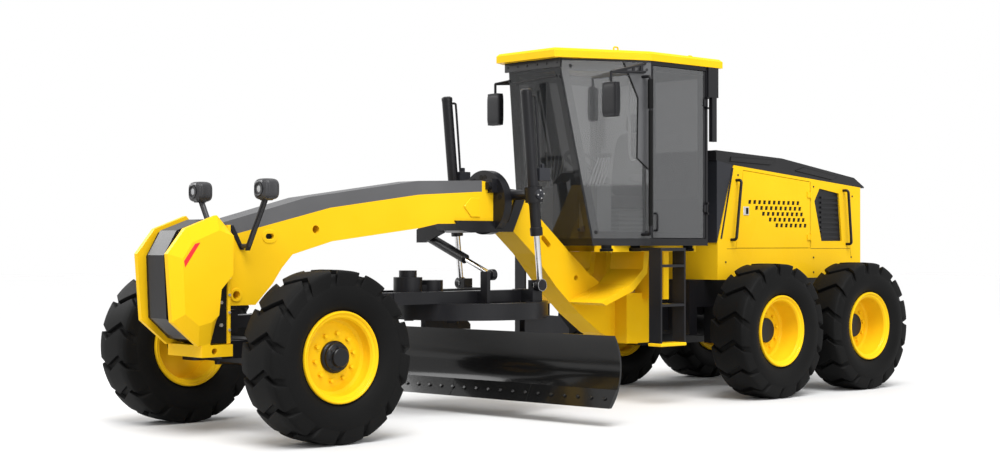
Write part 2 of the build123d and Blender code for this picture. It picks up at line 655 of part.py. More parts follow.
with BuildPart() as blade:
    with BuildSketch(blade_side(BLADE_LENGTH / 2)) as section:
        with BuildLine():
            back = [(x - BLADE_WALL, z) for x, z in BLADE_FACE]
            ThreePointArc(*BLADE_FACE)
            Line(BLADE_FACE[2], back[2])
            ThreePointArc(*reversed(back))
            Line(back[0], BLADE_FACE[0])
        make_face()
    extrude(section.sketch, amount=BLADE_LENGTH)
    edge_z = (BLADE_FACE[2][1], BLADE_FACE[2][1] + EDGE_HEIGHT)
    edge = [(face_x(z) - BLADE_WALL / 2, z) for z in edge_z]
    edge += [(face_x(z) + EDGE_WALL, z) for z in reversed(edge_z)]
    blade_slab(edge, -BLADE_LENGTH / 2, BLADE_LENGTH / 2)
    for z in RAIL_HEIGHTS:
        blade_bar(RAIL_X, z, -RAIL_HALF, RAIL_HALF, RAIL)
    for side in SIDES.values():
        rib = [(RAIL_X, z) for z in RAIL_HEIGHTS]
        rib += [(face_x(z) - BLADE_WALL / 2, z) for z in RIB_Z]
        blade_slab(rib, side * (RAIL_HALF - RIB_WIDTH), side * RAIL_HALF)
write(blade, "blade")

# Cab: floor, walls with posts, glass, roof and the two doors
SCREEN_TOP_X = SCREEN_FOOT[0] + (CAB_TOP - SCREEN_FOOT[1]) * SCREEN_LEAN


def side_y(x):
    return CAB_HALF - SIDE_SLOPE * (x - POST_X)


def screen_x(z):
    return SCREEN_FOOT[0] + (z - SCREEN_FOOT[1]) * SCREEN_LEAN


def cab_block(inset, z_from, z_to):
    """The cab's outer form, drawn in by an inset, between two heights."""
    tip = SCREEN_TOP_X + 40
    plan = [(CAB_BACK, CAB_HALF), (POST_X, CAB_HALF), (tip, side_y(tip))]
    with BuildSketch(plan_plane(z_from)) as outline:
        with BuildLine():
            Polyline(*plan, *[(x, -y) for x, y in reversed(plan)], close=True)
        make_face()
        if inset:
            offset(amount=-inset, kind=Kind.INTERSECTION)
    with BuildPart(mode=Mode.PRIVATE) as form:
        extrude(outline.sketch, amount=z_to - z_from)
        ahead = inset * sqrt(1 + SCREEN_LEAN**2)
        front = [(screen_x(z) - ahead, z) for z in (z_from - 50, z_to + 50)]
        side_slab(
            [front[0], (-2800, z_from - 50), (-2800, z_to + 50), front[1]],
            -1000,
            1000,
            Mode.SUBTRACT,
        )
    return form.part


CAB_SPAN = (CAB_FLOOR[1], CAB_TOP)
PANE = (CAB_FLOOR[1] + PANE_SILL, CAB_TOP - PANE_HEADER)
SIDE_RUN = sqrt(1 + SIDE_SLOPE**2)
POST_WIDTH = 85
with BuildPart() as cab_windows:
    foot = side_y(screen_x(PANE[0])) - POST_WIDTH + 10
    head = side_y(screen_x(PANE[1])) - POST_WIDTH + 10
    screen = [(-foot, PANE[0]), (foot, PANE[0]), (head, PANE[1]), (-head, PANE[1])]
    slab(cross_plane(-3720), screen, 620)
    for side in SIDES.values():
        wall = Plane(
            origin=station((POST_X, side * CAB_HALF, 0)),
            x_dir=(1, -side * SIDE_SLOPE, 0),
            z_dir=(0, 0, 1),
        )
        upright = Plane(origin=wall.origin, x_dir=wall.x_dir, z_dir=wall.x_dir.cross(Vector(0, 0, 1)))
        run = [(screen_x(z) - POST_X) * SIDE_RUN - POST_WIDTH for z in PANE]
        slab(upright, [(60, PANE[0]), (run[0], PANE[0]), (run[1], PANE[1]), (60, PANE[1])], 70, both=True)
    block((CAB_BACK - 100, CAB_BACK + 100), (-CAB_HALF + 90, CAB_HALF - 90), (2000, PANE[1]))

with BuildPart() as cab_floor:
    add(cab_block(0, *CAB_FLOOR))
write(cab_floor, "cab_floor")

HINGE_ZS = (DOOR_SILL + HINGE_SILL, DOOR_HEAD - HINGE_HEADER)
HINGE_HALF = 40
with BuildPart() as cab_frame:
    add(cab_block(0, *CAB_SPAN))
    add(cab_block(CAB_WALL, CAB_FLOOR[1] - 5, CAB_TOP + 5), mode=Mode.SUBTRACT)
    add(cab_windows.part, mode=Mode.SUBTRACT)
    for side in SIDES.values():
        door_hole = (side * (CAB_HALF - CAB_WALL - 20), side * (CAB_HALF + 20))
        block((DOOR_BACK, DOOR_FRONT), door_hole, (DOOR_SILL, DOOR_HEAD), Mode.SUBTRACT)
        for z in HINGE_ZS:
            for ear in (z - HINGE_HALF - PIN_GAP - EAR, z + HINGE_HALF + PIN_GAP):
                span = (DOOR_BACK - 20, DOOR_BACK + 2)
                reach = (side * (CAB_HALF - 10), side * (CAB_HALF + HINGE_OUT + HINGE_PIN))
                block(span, reach, (ear, ear + EAR))
        block(DUCT_X, (side * DUCT_Y[0], side * DUCT_Y[1]), (CAB_TOP - DUCT_DROP, CAB_TOP))
        duct = (CAB_TOP - DUCT_DROP - DUCT_LENGTH, CAB_TOP - DUCT_DROP)
        block((DUCT_X[0] + 20, DUCT_X[0] + 90), (side * (DUCT_Y[0] + 10), side * (DUCT_Y[1] - 5)), duct)
write(cab_frame, "cab_frame")

with BuildPart() as cab_glass:
    add(cab_block(GLASS_INSET, *CAB_SPAN))
    add(cab_block(GLASS_INSET + GLASS, CAB_FLOOR[1] - 5, CAB_TOP + 5), mode=Mode.SUBTRACT)
    add(cab_windows.part, mode=Mode.INTERSECT)
write(cab_glass, "cab_glass")

ROOF_PLAN = [(-5130, 800), (-4060, 800), (-3140, 400)]
with BuildPart() as cab_roof:
    slab(plan_plane(CAB_TOP), ROOF_PLAN + [(x, -y) for x, y in reversed(ROOF_PLAN)], ROOF_HEIGHT)
    chamfer(cab_roof.faces().sort_by(Axis.Z)[-1].edges(), 25)
    roof_top = CAB_TOP + ROOF_HEIGHT
    half_span, rise, rod = ROOF_EYE_SIZE
    for side in SIDES.values():
        for x in ROOF_EYE_X:
            near, far = ((x - half_span, side * ROOF_EYE_Y), (x + half_span, side * ROOF_EYE_Y))
            hoop = [(*near, roof_top - rod), (*near, roof_top + rise)]
            hoop += [(*far, roof_top + rise), (*far, roof_top - rod)]
            pipe(hoop, rod, 2 * rod)
write(cab_roof, "cab_roof")

for hand, side in SIDES.items():
    outer = CAB_HALF - 5
    inner = outer - DOOR_WALL
    x_span = (DOOR_BACK + RUN_GAP, DOOR_FRONT - RUN_GAP)
    z_span = (DOOR_SILL + RUN_GAP, DOOR_HEAD - RUN_GAP)
    pane_x = (x_span[0] + DOOR_BORDER, x_span[1] - DOOR_BORDER)
    pane_z = (z_span[0] + DOOR_BORDER, z_span[1] - DOOR_BORDER)
    with BuildPart() as door:
        block(x_span, (side * inner, side * outer), z_span)
        block(pane_x, (side * (inner - 10), side * (outer + 10)), pane_z, Mode.SUBTRACT)
        for z in HINGE_ZS:
            axis = (DOOR_BACK, side * (CAB_HALF + HINGE_OUT))
            bar((*axis, z - HINGE_HALF), (*axis, z + HINGE_HALF), HINGE_PIN)
            leaf = (z - HINGE_HALF + 5, z + HINGE_HALF - 5)
            block((DOOR_BACK, x_span[0] + 40), (side * (CAB_HALF + 4), axis[1]), leaf)
            block((x_span[0] + 5, x_span[0] + 40), (side * (outer - 5), axis[1]), leaf)
        stile = x_span[1] - DOOR_BORDER / 2
        grip = (side * (outer - 2), side * (outer + HANDLE_OUT))
        low, high = (z_span[0] + HANDLE_SILL, z_span[0] + HANDLE_SILL + HANDLE_LENGTH)
        loop = [(stile, grip[0], low), (stile, grip[1], low), (stile, grip[1], high), (stile, grip[0], high)]
        pipe(loop, HANDLE_ROD, 2 * HANDLE_ROD)
    write(door, f"cab_door_{hand}")
    with BuildPart() as door_glass:
        middle_y = (inner + outer) / 2
        block(pane_x, (side * (middle_y - GLASS / 2), side * (middle_y + GLASS / 2)), pane_z)
    write(door_glass, f"cab_door_glass_{hand}")

with BuildPart() as seat:
    block((-4600, -4300), (-160, 160), (CAB_FLOOR[1], 1900))
    block((-4680, -4200), (-250, 250), (1900, 2030))
    side_slab([(-4560, 2010), (-4680, 2030), (-4780, 2680), (-4690, 2690)], -240, 240)
write(seat, "seat")

with BuildPart() as console:
    column = [(-3900, CAB_FLOOR[1]), (-3680, CAB_FLOOR[1]), (-3690, 2150), (-3810, 2250), (-3880, 2230)]
    side_slab(column, -170, 170)
    bar((-3845, 0, 2200), (-3930, 0, 2350), 30)
    with BuildSketch(Plane(origin=station((-3930, 0, 2350)), z_dir=(-85, 0, 150))) as wheel:
        Circle(200)
        Circle(165, mode=Mode.SUBTRACT)
        Rectangle(360, 30)
    extrude(wheel.sketch, amount=24)
write(console, "console")

MIRROR_TOP = CAB_TOP - MIRROR_DROP
ROOT_X = POST_X + 40
with BuildPart() as mirrors:
    for side in SIDES.values():
        tip = (MIRROR_X + MIRROR_WALL / 2, side * MIRROR_Y, CAB_TOP - MIRROR_TIP)
        for drop in MIRROR_ROOTS:
            bar((ROOT_X, side * (side_y(ROOT_X) - 2), CAB_TOP - drop), tip, MIRROR_ROD)
        bar(tip, (*tip[:2], MIRROR_TOP - 20), MIRROR_ROD)
        with BuildPart(mode=Mode.PRIVATE) as shell:
            Box(MIRROR_WALL, 2 * MIRROR_HALF, MIRROR_HEIGHT)
            fillet(shell.edges().filter_by(Axis.Z), MIRROR_WALL / 3)
        with Locations(station((*tip[:2], MIRROR_TOP - MIRROR_HEIGHT / 2))):
            add(shell.part)
    add(cab_block(0, *CAB_SPAN), mode=Mode.SUBTRACT)
write(mirrors, "mirrors")

# Steps: a ladder hung from each cab rail, and a grab bar beside each door
LADDER_X = (-4320, -3960)
LADDER_Y = (855, 1005)
TREADS = (575, 950, 1325)
GRAB_SPAN = (DOOR_SILL + GRAB_SILL, DOOR_HEAD - GRAB_HEADER)
GRAB_FOOT = side_y(GRAB_X) - 4
with BuildPart() as steps:
    for side in SIDES.values():
        for x in LADDER_X:
            inward = 1 if x == LADDER_X[0] else -1
            span = (x, x + inward * 20)
            block(span, (side * LADDER_Y[0], side * LADDER_Y[1]), (TREADS[0], 1500))
        block(LADDER_X, (side * (RAIL_Y + 50), side * LADDER_Y[1]), (1480, 1510))
        for z in TREADS:
            block(LADDER_X, (side * LADDER_Y[0], side * LADDER_Y[1]), (z, z + 25))
        pipe(
            [
                (GRAB_X, side * GRAB_FOOT, GRAB_SPAN[0]),
                (GRAB_X, side * (CAB_HALF + GRAB_OUT), GRAB_SPAN[0]),
                (GRAB_X, side * (CAB_HALF + GRAB_OUT), GRAB_SPAN[1]),
                (GRAB_X, side * GRAB_FOOT, GRAB_SPAN[1]),
            ],
            GRAB_ROD,
            2 * GRAB_ROD,
        )
    add(cab_block(0, *CAB_SPAN), mode=Mode.SUBTRACT)
write(steps, "steps")

# Rear frame: two rails, cross members, the knuckle of the frame joint and the tow plate
KNUCKLE_Z = (LUG_LOWER[1] + 5, LUG_UPPER[0] - 5)
CROSS_X = (-5180, -5060)
with BuildPart() as rear_frame:
    for side in SIDES.values():
        block((REAR_END, CROSS_X[0]), (side * RAIL_INNER, side * RAIL_OUTER), (FRAME_BOTTOM, FRAME_TOP))
    block(CROSS_X, (-RAIL_OUTER, RAIL_OUTER), (620, FRAME_TOP))
    block((REAR_END, REAR_END + 60), (-RAIL_OUTER, RAIL_OUTER), (760, FRAME_TOP))
    block((CROSS_X[1], JOINT_X), (-130, 130), KNUCKLE_Z)
    bar((JOINT_X, 0, KNUCKLE_Z[0]), (JOINT_X, 0, KNUCKLE_Z[1]), 140)
    bar((JOINT_X, 0, LUG_LOWER[0]), (JOINT_X, 0, LUG_UPPER[1]), JOINT_PIN)
    block((REAR_END - 130, REAR_END + 10), (-90, 90), (800, 840))
    bar((REAR_END - 70, 0, 700), (REAR_END - 70, 0, 900), 24, Mode.SUBTRACT)
write(rear_frame, "rear_frame")

with BuildPart() as rear_axle:
    bar((TANDEM_X, -TANDEM_Y[0], AXLE_Z), (TANDEM_X, TANDEM_Y[0], AXLE_Z), 150)
    block((TANDEM_X - 200, TANDEM_X + 200), (-230, 230), (470, 880))
    for side in SIDES.values():
        saddle_x = (TANDEM_X - 120, TANDEM_X + 120)
        block(saddle_x, (side * RAIL_INNER, side * RAIL_OUTER), (AXLE_Z, FRAME_BOTTOM))
write(rear_axle, "rear_axle")

for hand, side in SIDES.items():
    with BuildPart() as tandem:
        with BuildSketch(side_plane(max(side * TANDEM_Y[0], side * TANDEM_Y[1]))) as case:
            with Locations((TANDEM_X, AXLE_Z)):
                SlotCenterToCenter(TANDEM_SPACING, 2 * TANDEM_HALF)
        extrude(case.sketch, amount=TANDEM_Y[1] - TANDEM_Y[0])
        for x in REAR_STATIONS.values():
            spindle_end = side * (TRACK / 2 + REAR_HUB[1] - HUB_CAP - RUN_GAP)
            bar((x, side * (TANDEM_Y[1] - 10), AXLE_Z), (x, spindle_end, AXLE_Z), SPINDLE)
    write(tandem, f"tandem_{hand}")

with BuildPart() as engine_block:
    block((-7200, -5750), (-ENGINE_HALF, ENGINE_HALF), (FRAME_TOP, 2050))
write(engine_block, "engine_block")

# Hood: yellow walls on the rails, a dark front, a dark top, grilles, doors and handrails
HOOD_SIDE = [(-5290, FRAME_TOP), (-5290, 1553), (-5550, 2360), (-7800, 2180), (-7800, FRAME_TOP)]
LOUVRE = [(-6937, 2012), (-7030, 2154), (-7389, 2106), (-7446, 1579), (-7066, 1578)]
REAR_GRILLE = ((-480, 480), (1290, 2060))
SLATS = [1610 + 54 * i for i in range(9)]
REAR_BARS = [1320 + 60 * i for i in range(12)]
FRETS = [
    [(-5505, 2440), (-6245, 2432), (-6150, 2385), (-5490, 2400)],
    [(-6740, 2370), (-7350, 2290), (-7240, 2258), (-6595, 2335)],
]
FRET = 10
CELL = [(21, 21), (-27, 21), (-21, -21), (27, -21)]
CELL_START = (-6643, 1985)
CELL_ROWS = 5
CELL_COLUMNS = 11
CELL_PITCH = (82.6, 60.2)
CELL_SHIFT = 32
CELL_DEPTH = 10
with BuildPart() as hood_shell:
    side_slab(HOOD_SIDE, -HOOD_HALF, HOOD_HALF)
    hollow = [(-5320, FRAME_TOP - 10), (-5320, 1553), (-5572, 2328), (-7770, 2152), (-7770, FRAME_TOP - 10)]
    side_slab(hollow, -HOOD_HALF + HOOD_WALL, HOOD_HALF - HOOD_WALL, Mode.SUBTRACT)
    for outline in (HOOD_DOOR, LOUVRE):
        side_slab(outline, -HOOD_HALF - 10, HOOD_HALF + 10, Mode.SUBTRACT)
    block((-7900, -7700), *REAR_GRILLE, Mode.SUBTRACT)
    for side in SIDES.values():
        block((-7740, -5380), (side * (ENGINE_HALF + 10), side * HOOD_HALF), (FRAME_TOP, FRAME_TOP + 20))
write(hood_shell, "hood_shell")

with BuildPart() as hood_front:
    side_slab([(-5280, 1560), (-5280, 2400), (-5537, 2361.6)], -HOOD_HALF, HOOD_HALF)
write(hood_front, "hood_front")

with BuildPart() as hood_top:
    under = [(-7870, 2175), (-5550, 2360.6), (-5270, 2402)]
    side_slab(under + [(-5270, 2505), (-6360, 2459), (-7680, 2287), (-7870, 2190)], -HOOD_HALF, HOOD_HALF)
    for side in SIDES.values():
        for fret in FRETS:
            side_slab(fret, side * (HOOD_HALF - FRET), side * (HOOD_HALF + FRET))
write(hood_top, "hood_top")

with BuildPart() as hood_grilles:
    for side in SIDES.values():
        side_slab(LOUVRE, side * (HOOD_HALF - HOOD_WALL), side * (HOOD_HALF - 20))
        for z in SLATS:
            block((-7380, -7070), (side * (HOOD_HALF - 22), side * (HOOD_HALF - 4)), (z, z + 24))
    block((-7870, -7775), *REAR_GRILLE)
    for z in REAR_BARS:
        block((-7890, -7868), (REAR_GRILLE[0][0] + 10, REAR_GRILLE[0][1] - 10), (z, z + 30))
write(hood_grilles, "hood_grilles")

for hand, side in SIDES.items():
    with BuildPart() as engine_door:
        with BuildSketch(side_plane(max(side * HOOD_HALF, side * (HOOD_HALF - HOOD_WALL)))) as panel:
            with BuildLine():
                Polyline(*HOOD_DOOR, close=True)
            make_face()
            offset(amount=-RUN_GAP, kind=Kind.INTERSECTION)
        extrude(panel.sketch, amount=HOOD_WALL)
        with BuildSketch(side_plane(max(side * HOOD_HALF, side * (HOOD_HALF - CELL_DEPTH)))) as cells:
            for row in range(CELL_ROWS):
                for column in range(CELL_COLUMNS - row):
                    x = CELL_START[0] - row * CELL_SHIFT + column * CELL_PITCH[0]
                    z = CELL_START[1] - row * CELL_PITCH[1]
                    with BuildLine():
                        Polyline(*[(x + ahead, z + up) for ahead, up in CELL], close=True)
                    make_face()
        extrude(cells.sketch, amount=CELL_DEPTH, mode=Mode.SUBTRACT)
        hinge = (HOOD_DOOR[2][0], side * (HOOD_HALF + HINGE_OUT))
        for z in (1620, 2080):
            bar((*hinge, z - HINGE_HALF), (*hinge, z + HINGE_HALF), HINGE_PIN)
            block((hinge[0], hinge[0] + 60), (side * (HOOD_HALF - 5), hinge[1]), (z - 30, z + 30))
    write(engine_door, f"engine_door_{hand}")

RAIL_ENDS = (((-5508, 1590), (-5592, 2205)), ((-7530, 1545), (-7470, 2140)))
with BuildPart() as hood_rails:
    for side in SIDES.values():
        for foot, head in RAIL_ENDS:
            out = side * (HOOD_HALF + 70)
            face = side * HOOD_HALF
            pipe(
                [
                    (foot[0], face, foot[1]),
                    (foot[0], out, foot[1]),
                    (head[0], out, head[1]),
                    (head[0], face, head[1]),
                ],
                15,
                30,
            )
write(hood_rails, "hood_rails")
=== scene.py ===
from math import cos, pi, radians, sin

import bmesh
import bpy
import numpy as np
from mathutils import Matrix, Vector


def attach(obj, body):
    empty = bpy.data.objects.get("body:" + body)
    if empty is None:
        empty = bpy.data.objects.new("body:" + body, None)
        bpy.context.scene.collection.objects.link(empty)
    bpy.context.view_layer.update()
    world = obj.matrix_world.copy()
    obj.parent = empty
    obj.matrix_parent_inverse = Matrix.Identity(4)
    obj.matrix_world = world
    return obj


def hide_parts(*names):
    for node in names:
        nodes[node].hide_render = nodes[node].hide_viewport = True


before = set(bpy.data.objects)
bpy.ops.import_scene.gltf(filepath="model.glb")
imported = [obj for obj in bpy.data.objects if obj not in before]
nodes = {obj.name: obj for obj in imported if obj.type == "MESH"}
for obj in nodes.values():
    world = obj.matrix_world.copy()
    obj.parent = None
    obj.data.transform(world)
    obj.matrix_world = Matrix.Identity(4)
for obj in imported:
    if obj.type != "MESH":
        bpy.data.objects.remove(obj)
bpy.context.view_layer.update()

# Rear frame, axles and tandem cases: box rails welded from plate, with cast cases bolted under them.
# They carry satin black enamel with a fine orange peel, and show mostly between the wheels.
MOTTLE_SCALE = 1.3
MOTTLE_DETAIL = 3
MOTTLE_BAND = (0.3, 0.7)
GRAIN_DETAIL = 2
COAT_ROUGH = 0.05


def enamel(name, dark, light, rough, coat=0.0, metal=0.0, grain=0.0004, scale=30.0, shine=0.22):
    """Sprayed paint: a slow noise in object space runs the colour from dark to light and the roughness
    a little either way, and a fine noise lifts the surface by the grain, in metres."""
    made = bpy.data.materials.new(name)
    made.use_nodes = True
    tree = made.node_tree
    shader = tree.nodes["Principled BSDF"]
    place = tree.nodes.new("ShaderNodeTexCoord")
    slow = tree.nodes.new("ShaderNodeTexNoise")
    slow.inputs["Scale"].default_value = MOTTLE_SCALE
    slow.inputs["Detail"].default_value = MOTTLE_DETAIL
    tree.links.new(place.outputs["Object"], slow.inputs["Vector"])
    ramp = tree.nodes.new("ShaderNodeValToRGB")
    for stop, position, colour in zip(ramp.color_ramp.elements, MOTTLE_BAND, (dark, light)):
        stop.position = position
        stop.color = (*colour, 1)
    tree.links.new(slow.outputs["Fac"], ramp.inputs["Fac"])
    tree.links.new(ramp.outputs["Color"], shader.inputs["Base Color"])
    spread = tree.nodes.new("ShaderNodeMapRange")
    spread.inputs["To Min"].default_value = rough * 0.85
    spread.inputs["To Max"].default_value = rough * 1.15
    tree.links.new(slow.outputs["Fac"], spread.inputs["Value"])
    tree.links.new(spread.outputs["Result"], shader.inputs["Roughness"])
    fine = tree.nodes.new("ShaderNodeTexNoise")
    fine.inputs["Scale"].default_value = scale
    fine.inputs["Detail"].default_value = GRAIN_DETAIL
    tree.links.new(place.outputs["Object"], fine.inputs["Vector"])
    bump = tree.nodes.new("ShaderNodeBump")
    bump.inputs["Distance"].default_value = grain
    tree.links.new(fine.outputs["Fac"], bump.inputs["Height"])
    tree.links.new(bump.outputs["Normal"], shader.inputs["Normal"])
    shader.inputs["Metallic"].default_value = metal
    shader.inputs["Specular IOR Level"].default_value = shine
    shader.inputs["Coat Weight"].default_value = coat
    shader.inputs["Coat Roughness"].default_value = COAT_ROUGH
    return made


def dress(material, *names):
    """Gives the named CAD nodes a finish in their objects' own slots."""
    for name in names:
        for place in nodes[name].material_slots:
            place.link = "OBJECT"
            place.material = material


black = enamel("satin_black", (0.006, 0.006, 0.007), (0.010, 0.010, 0.012), 0.34)
dress(black, "rear_frame", "rear_axle", "tandem_left", "tandem_right", "front_axle", "tie_rod")
dress(black, "knuckle_left", "knuckle_right", "engine_block")

# Wheels: tubeless grader tyres, a smooth casing with broad zigzag blocks across it, on deep dished rims.
# The rubber is moulded, the rims are pressed steel in gloss yellow, and the hubs are black castings.
FRONT = 3.475
TYRE_R = 0.675
TRACK = 2.14
PITCHES = 15
STATIONS = {"front": 0.0, "middle": -5.51, "rear": -7.03}
DISHES = {"front": 0.072, "middle": -0.048, "rear": -0.048}
MERGE = 0.00001
RIM_NUTS = {"circle": 0.185, "count": 10, "radius": 0.018, "height": 0.026}
HUB_BOLTS = {"circle": 0.090, "count": 8, "radius": 0.007, "height": 0.006}
CAP_BOLTS = {"circle": 0.03, "count": 4, "radius": 0.007, "height": 0.0015}
HUB_FACE, CAP_FACE = 0.142, 0.178
FIRST_BOLT = 0.16
VALVE_PLACE = (0.17, 0, 0.235)
ROUND = 120
LEFT_RIGHT = (("left", 1), ("right", -1))
LEMON = ((0.76, 0.445, 0.008), (0.79, 0.485, 0.011))
SOOT = ((0.004, 0.004, 0.004), (0.007, 0.007, 0.007))
yellow = enamel("gloss_yellow", *LEMON, 0.28, coat=0.04, grain=0.0002, shine=0.03)
rubber = enamel("tyre_rubber", *SOOT, 0.6, grain=0.0006, scale=120.0, shine=0.07)
hub_black = enamel("hub_black", (0.006, 0.006, 0.007), (0.010, 0.010, 0.011), 0.3)


def grid(points, wrap_u=False, wrap_v=False):
    """A sheet of quads over a grid of points P(u, v), rows along u and columns along v. A wrapped
    direction joins its last line of points to its first."""
    rows, columns = points.shape[:2]
    ids = np.arange(rows * columns).reshape(rows, columns)
    if wrap_u:
        ids = np.vstack([ids, ids[:1]])
    if wrap_v:
        ids = np.hstack([ids, ids[:, :1]])
    quads = np.stack([ids[:-1, :-1], ids[:-1, 1:], ids[1:, 1:], ids[1:, :-1]], -1)
    return points.reshape(-1, 3), quads.reshape(-1, 4).tolist()


def piece(name, shapes, material, body, angle=32):
    """One mesh object from several shapes, moved from the front axle to the shared frame. Points that
    coincide are merged, and faces that meet at less than the angle are shaded as one surface."""
    counts = np.cumsum([0] + [len(points) for points, faces in shapes])
    points = np.vstack([points for points, faces in shapes]) + (FRONT, 0, 0)
    faces = [[i + first for i in face] for first, shape in zip(counts, shapes) for face in shape[1]]
    mesh = bpy.data.meshes.new(name)
    mesh.from_pydata(points.tolist(), [], faces)
    skin = bmesh.new()
    skin.from_mesh(mesh)
    bmesh.ops.remove_doubles(skin, verts=skin.verts, dist=MERGE)
    bmesh.ops.recalc_face_normals(skin, faces=skin.faces)
    skin.to_mesh(mesh)
    skin.free()
    mesh.materials.append(material)
    mesh.polygons.foreach_set("use_smooth", np.ones(len(mesh.polygons), bool))
    mesh.set_sharp_from_angle(angle=radians(angle))
    made = bpy.data.objects.new(name, mesh)
    bpy.context.scene.collection.objects.link(made)
    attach(made, body)
    return made


def turned(profile, centre, axis, steps=96):
    """A profile of (radius, height) turned about an axis: at angle t a point lies at the centre, plus the
    height along the axis, plus the radius along the cross direction turned by t."""
    along = np.array(axis, float) / np.linalg.norm(axis)
    across = np.cross(along, (0.0, 0.0, 1.0) if abs(along[2]) < 0.9 else (1.0, 0.0, 0.0))
    across /= np.linalg.norm(across)
    third = np.cross(along, across)
    r, h = np.array(profile, float).T
    t = np.linspace(0, 2 * pi, steps, endpoint=False)[:, None, None]
    ring = np.cos(t) * across + np.sin(t) * third
    return grid(np.array(centre) + h[None, :, None] * along + r[None, :, None] * ring, wrap_u=True)


def tread_blocks(middle):
    """All blocks of a tread: over s, from one sidewall over the tread to the other, and t, across one
    pitch, a point has the radius and width of the outer profile at s. Its angle is the pitch's own plus
    t's share of the block plus a zigzag of the width. The borders in t drop down to the casing."""
    half = np.array([0.0, 0.095, 0.185, 0.200, 0.2075, 0.2105, 0.2128, 0.2140])
    high = np.array([0.675, 0.6745, 0.670, 0.661, 0.642, 0.600, 0.575, 0.556])
    deep = np.array([0.036, 0.036, 0.036, 0.036, 0.030, 0.022, 0.012, 0.002])
    inward = np.array([0.0, 0.0, 0.016, 0.022, 0.025, 0.022, 0.012, 0.002])
    lean = np.interp(half, [0, 0.095, 0.2075, 0.2128, 0.214], [0, 0.050, -0.025, -0.055, -0.062])
    share = np.interp(half, [0.2, 0.214], [0.785, 0.74])
    t = np.array([-0.02, 0, 0.02, 0.16, 0.33, 0.5, 0.67, 0.84, 0.98, 1, 1.02])
    drop = np.array([1, 0.10, 0, 0, 0, 0, 0, 0, 0, 0.10, 1])
    even = (high, deep, inward, share)
    high, deep, inward, share = (np.concatenate([v[:0:-1], v])[:, None] for v in even)
    wide = np.concatenate([-half[:0:-1], half])[:, None]
    zigzag = np.concatenate([-lean[:0:-1], lean])[:, None] / TYRE_R
    radius = high - drop * deep
    width = wide - np.sign(wide) * drop * inward
    pitch = 2 * pi / PITCHES
    angle = np.arange(PITCHES)[:, None, None] * pitch + (t - 0.5) * share * pitch + zigzag
    x = radius * np.cos(angle)
    z = radius * np.sin(angle)
    return np.stack([x, np.broadcast_to(width, x.shape), z], -1) + np.array(middle)


def bolt_heads(middle, axis, circle, count, radius, height):
    """Hexagon heads on a bolt circle: each is a six sided column, closed by a domed end of two smaller
    rings, moved to its place on the circle."""
    along = np.array(axis, float)
    across = np.array((1.0, 0.0, 0.0)) if abs(along[0]) < 0.9 else np.array((0.0, 1.0, 0.0))
    third = np.cross(along, across)
    ring = np.linspace(0, 2 * pi, 6, endpoint=False)
    r = np.array([1, 1, 0.86, 0.35]) * radius
    h = np.array([-0.3, 0.8, 1, 1]) * height
    head = r[:, None, None] * (np.cos(ring)[:, None] * across + np.sin(ring)[:, None] * third)
    head = head + h[:, None, None] * along
    places = np.linspace(0, 2 * pi, count, endpoint=False)[:, None] + FIRST_BOLT
    centres = np.array(middle) + circle * (np.cos(places) * across + np.sin(places) * third)
    made = []
    for centre in centres:
        points, faces = grid(head + centre, wrap_v=True)
        made.append((points, faces + [list(range(18, 24))]))
    return made


CASING = [(0.322, 0.120), (0.330, 0.158), (0.352, 0.166), (0.366, 0.163), (0.378, 0.180)]
CASING += [(0.392, 0.188), (0.398, 0.193), (0.440, 0.211), (0.480, 0.2200), (0.520, 0.2180)]
CASING += [(0.556, 0.2135), (0.572, 0.205), (0.588, 0.192), (0.608, 0.185), (0.626, 0.177)]
CASING += [(0.637, 0.160), (0.640, 0.080), (0.640, 0.0)]
CASING += [(r, -a) for r, a in reversed(CASING[:-1])]
LIP = [(0.300, 0.12), (0.300, 0.150), (0.312, 0.168), (0.330, 0.174), (0.336, 0.183), (0.346, 0.190)]
LIP += [(0.355, 0.186), (0.359, 0.176), (0.358, 0.166), (0.345, 0.162), (0.330, 0.150), (0.322, 0.120)]
LIP += [(r, -a) for r, a in reversed(LIP)]
WEB = [(0.104, 0.0), (0.215, 0.0), (0.232, -0.006), (0.268, -0.012), (0.290, 0.004), (0.299, 0.03)]
WEB_BACK = [(0.299, -0.03), (0.104, -0.025)]
FRONT_HUB = [(0.126, 0.06), (0.126, 0.094), (0.120, 0.102), (0.112, 0.106), (0.112, 0.128)]
FRONT_HUB += [(0.106, 0.136), (0.092, 0.142), (0.078, 0.144), (0.074, 0.150), (0.074, 0.172)]
FRONT_HUB += [(0.068, 0.178), (0.02, 0.18), (0, 0.18)]
REAR_HUB = [(0.124, -0.07), (0.124, -0.020), (0.118, -0.012), (0.06, -0.0105), (0, -0.0105)]
VALVE = [(0.006, -0.02), (0.006, 0.075), (0.004, 0.08), (0, 0.08)]
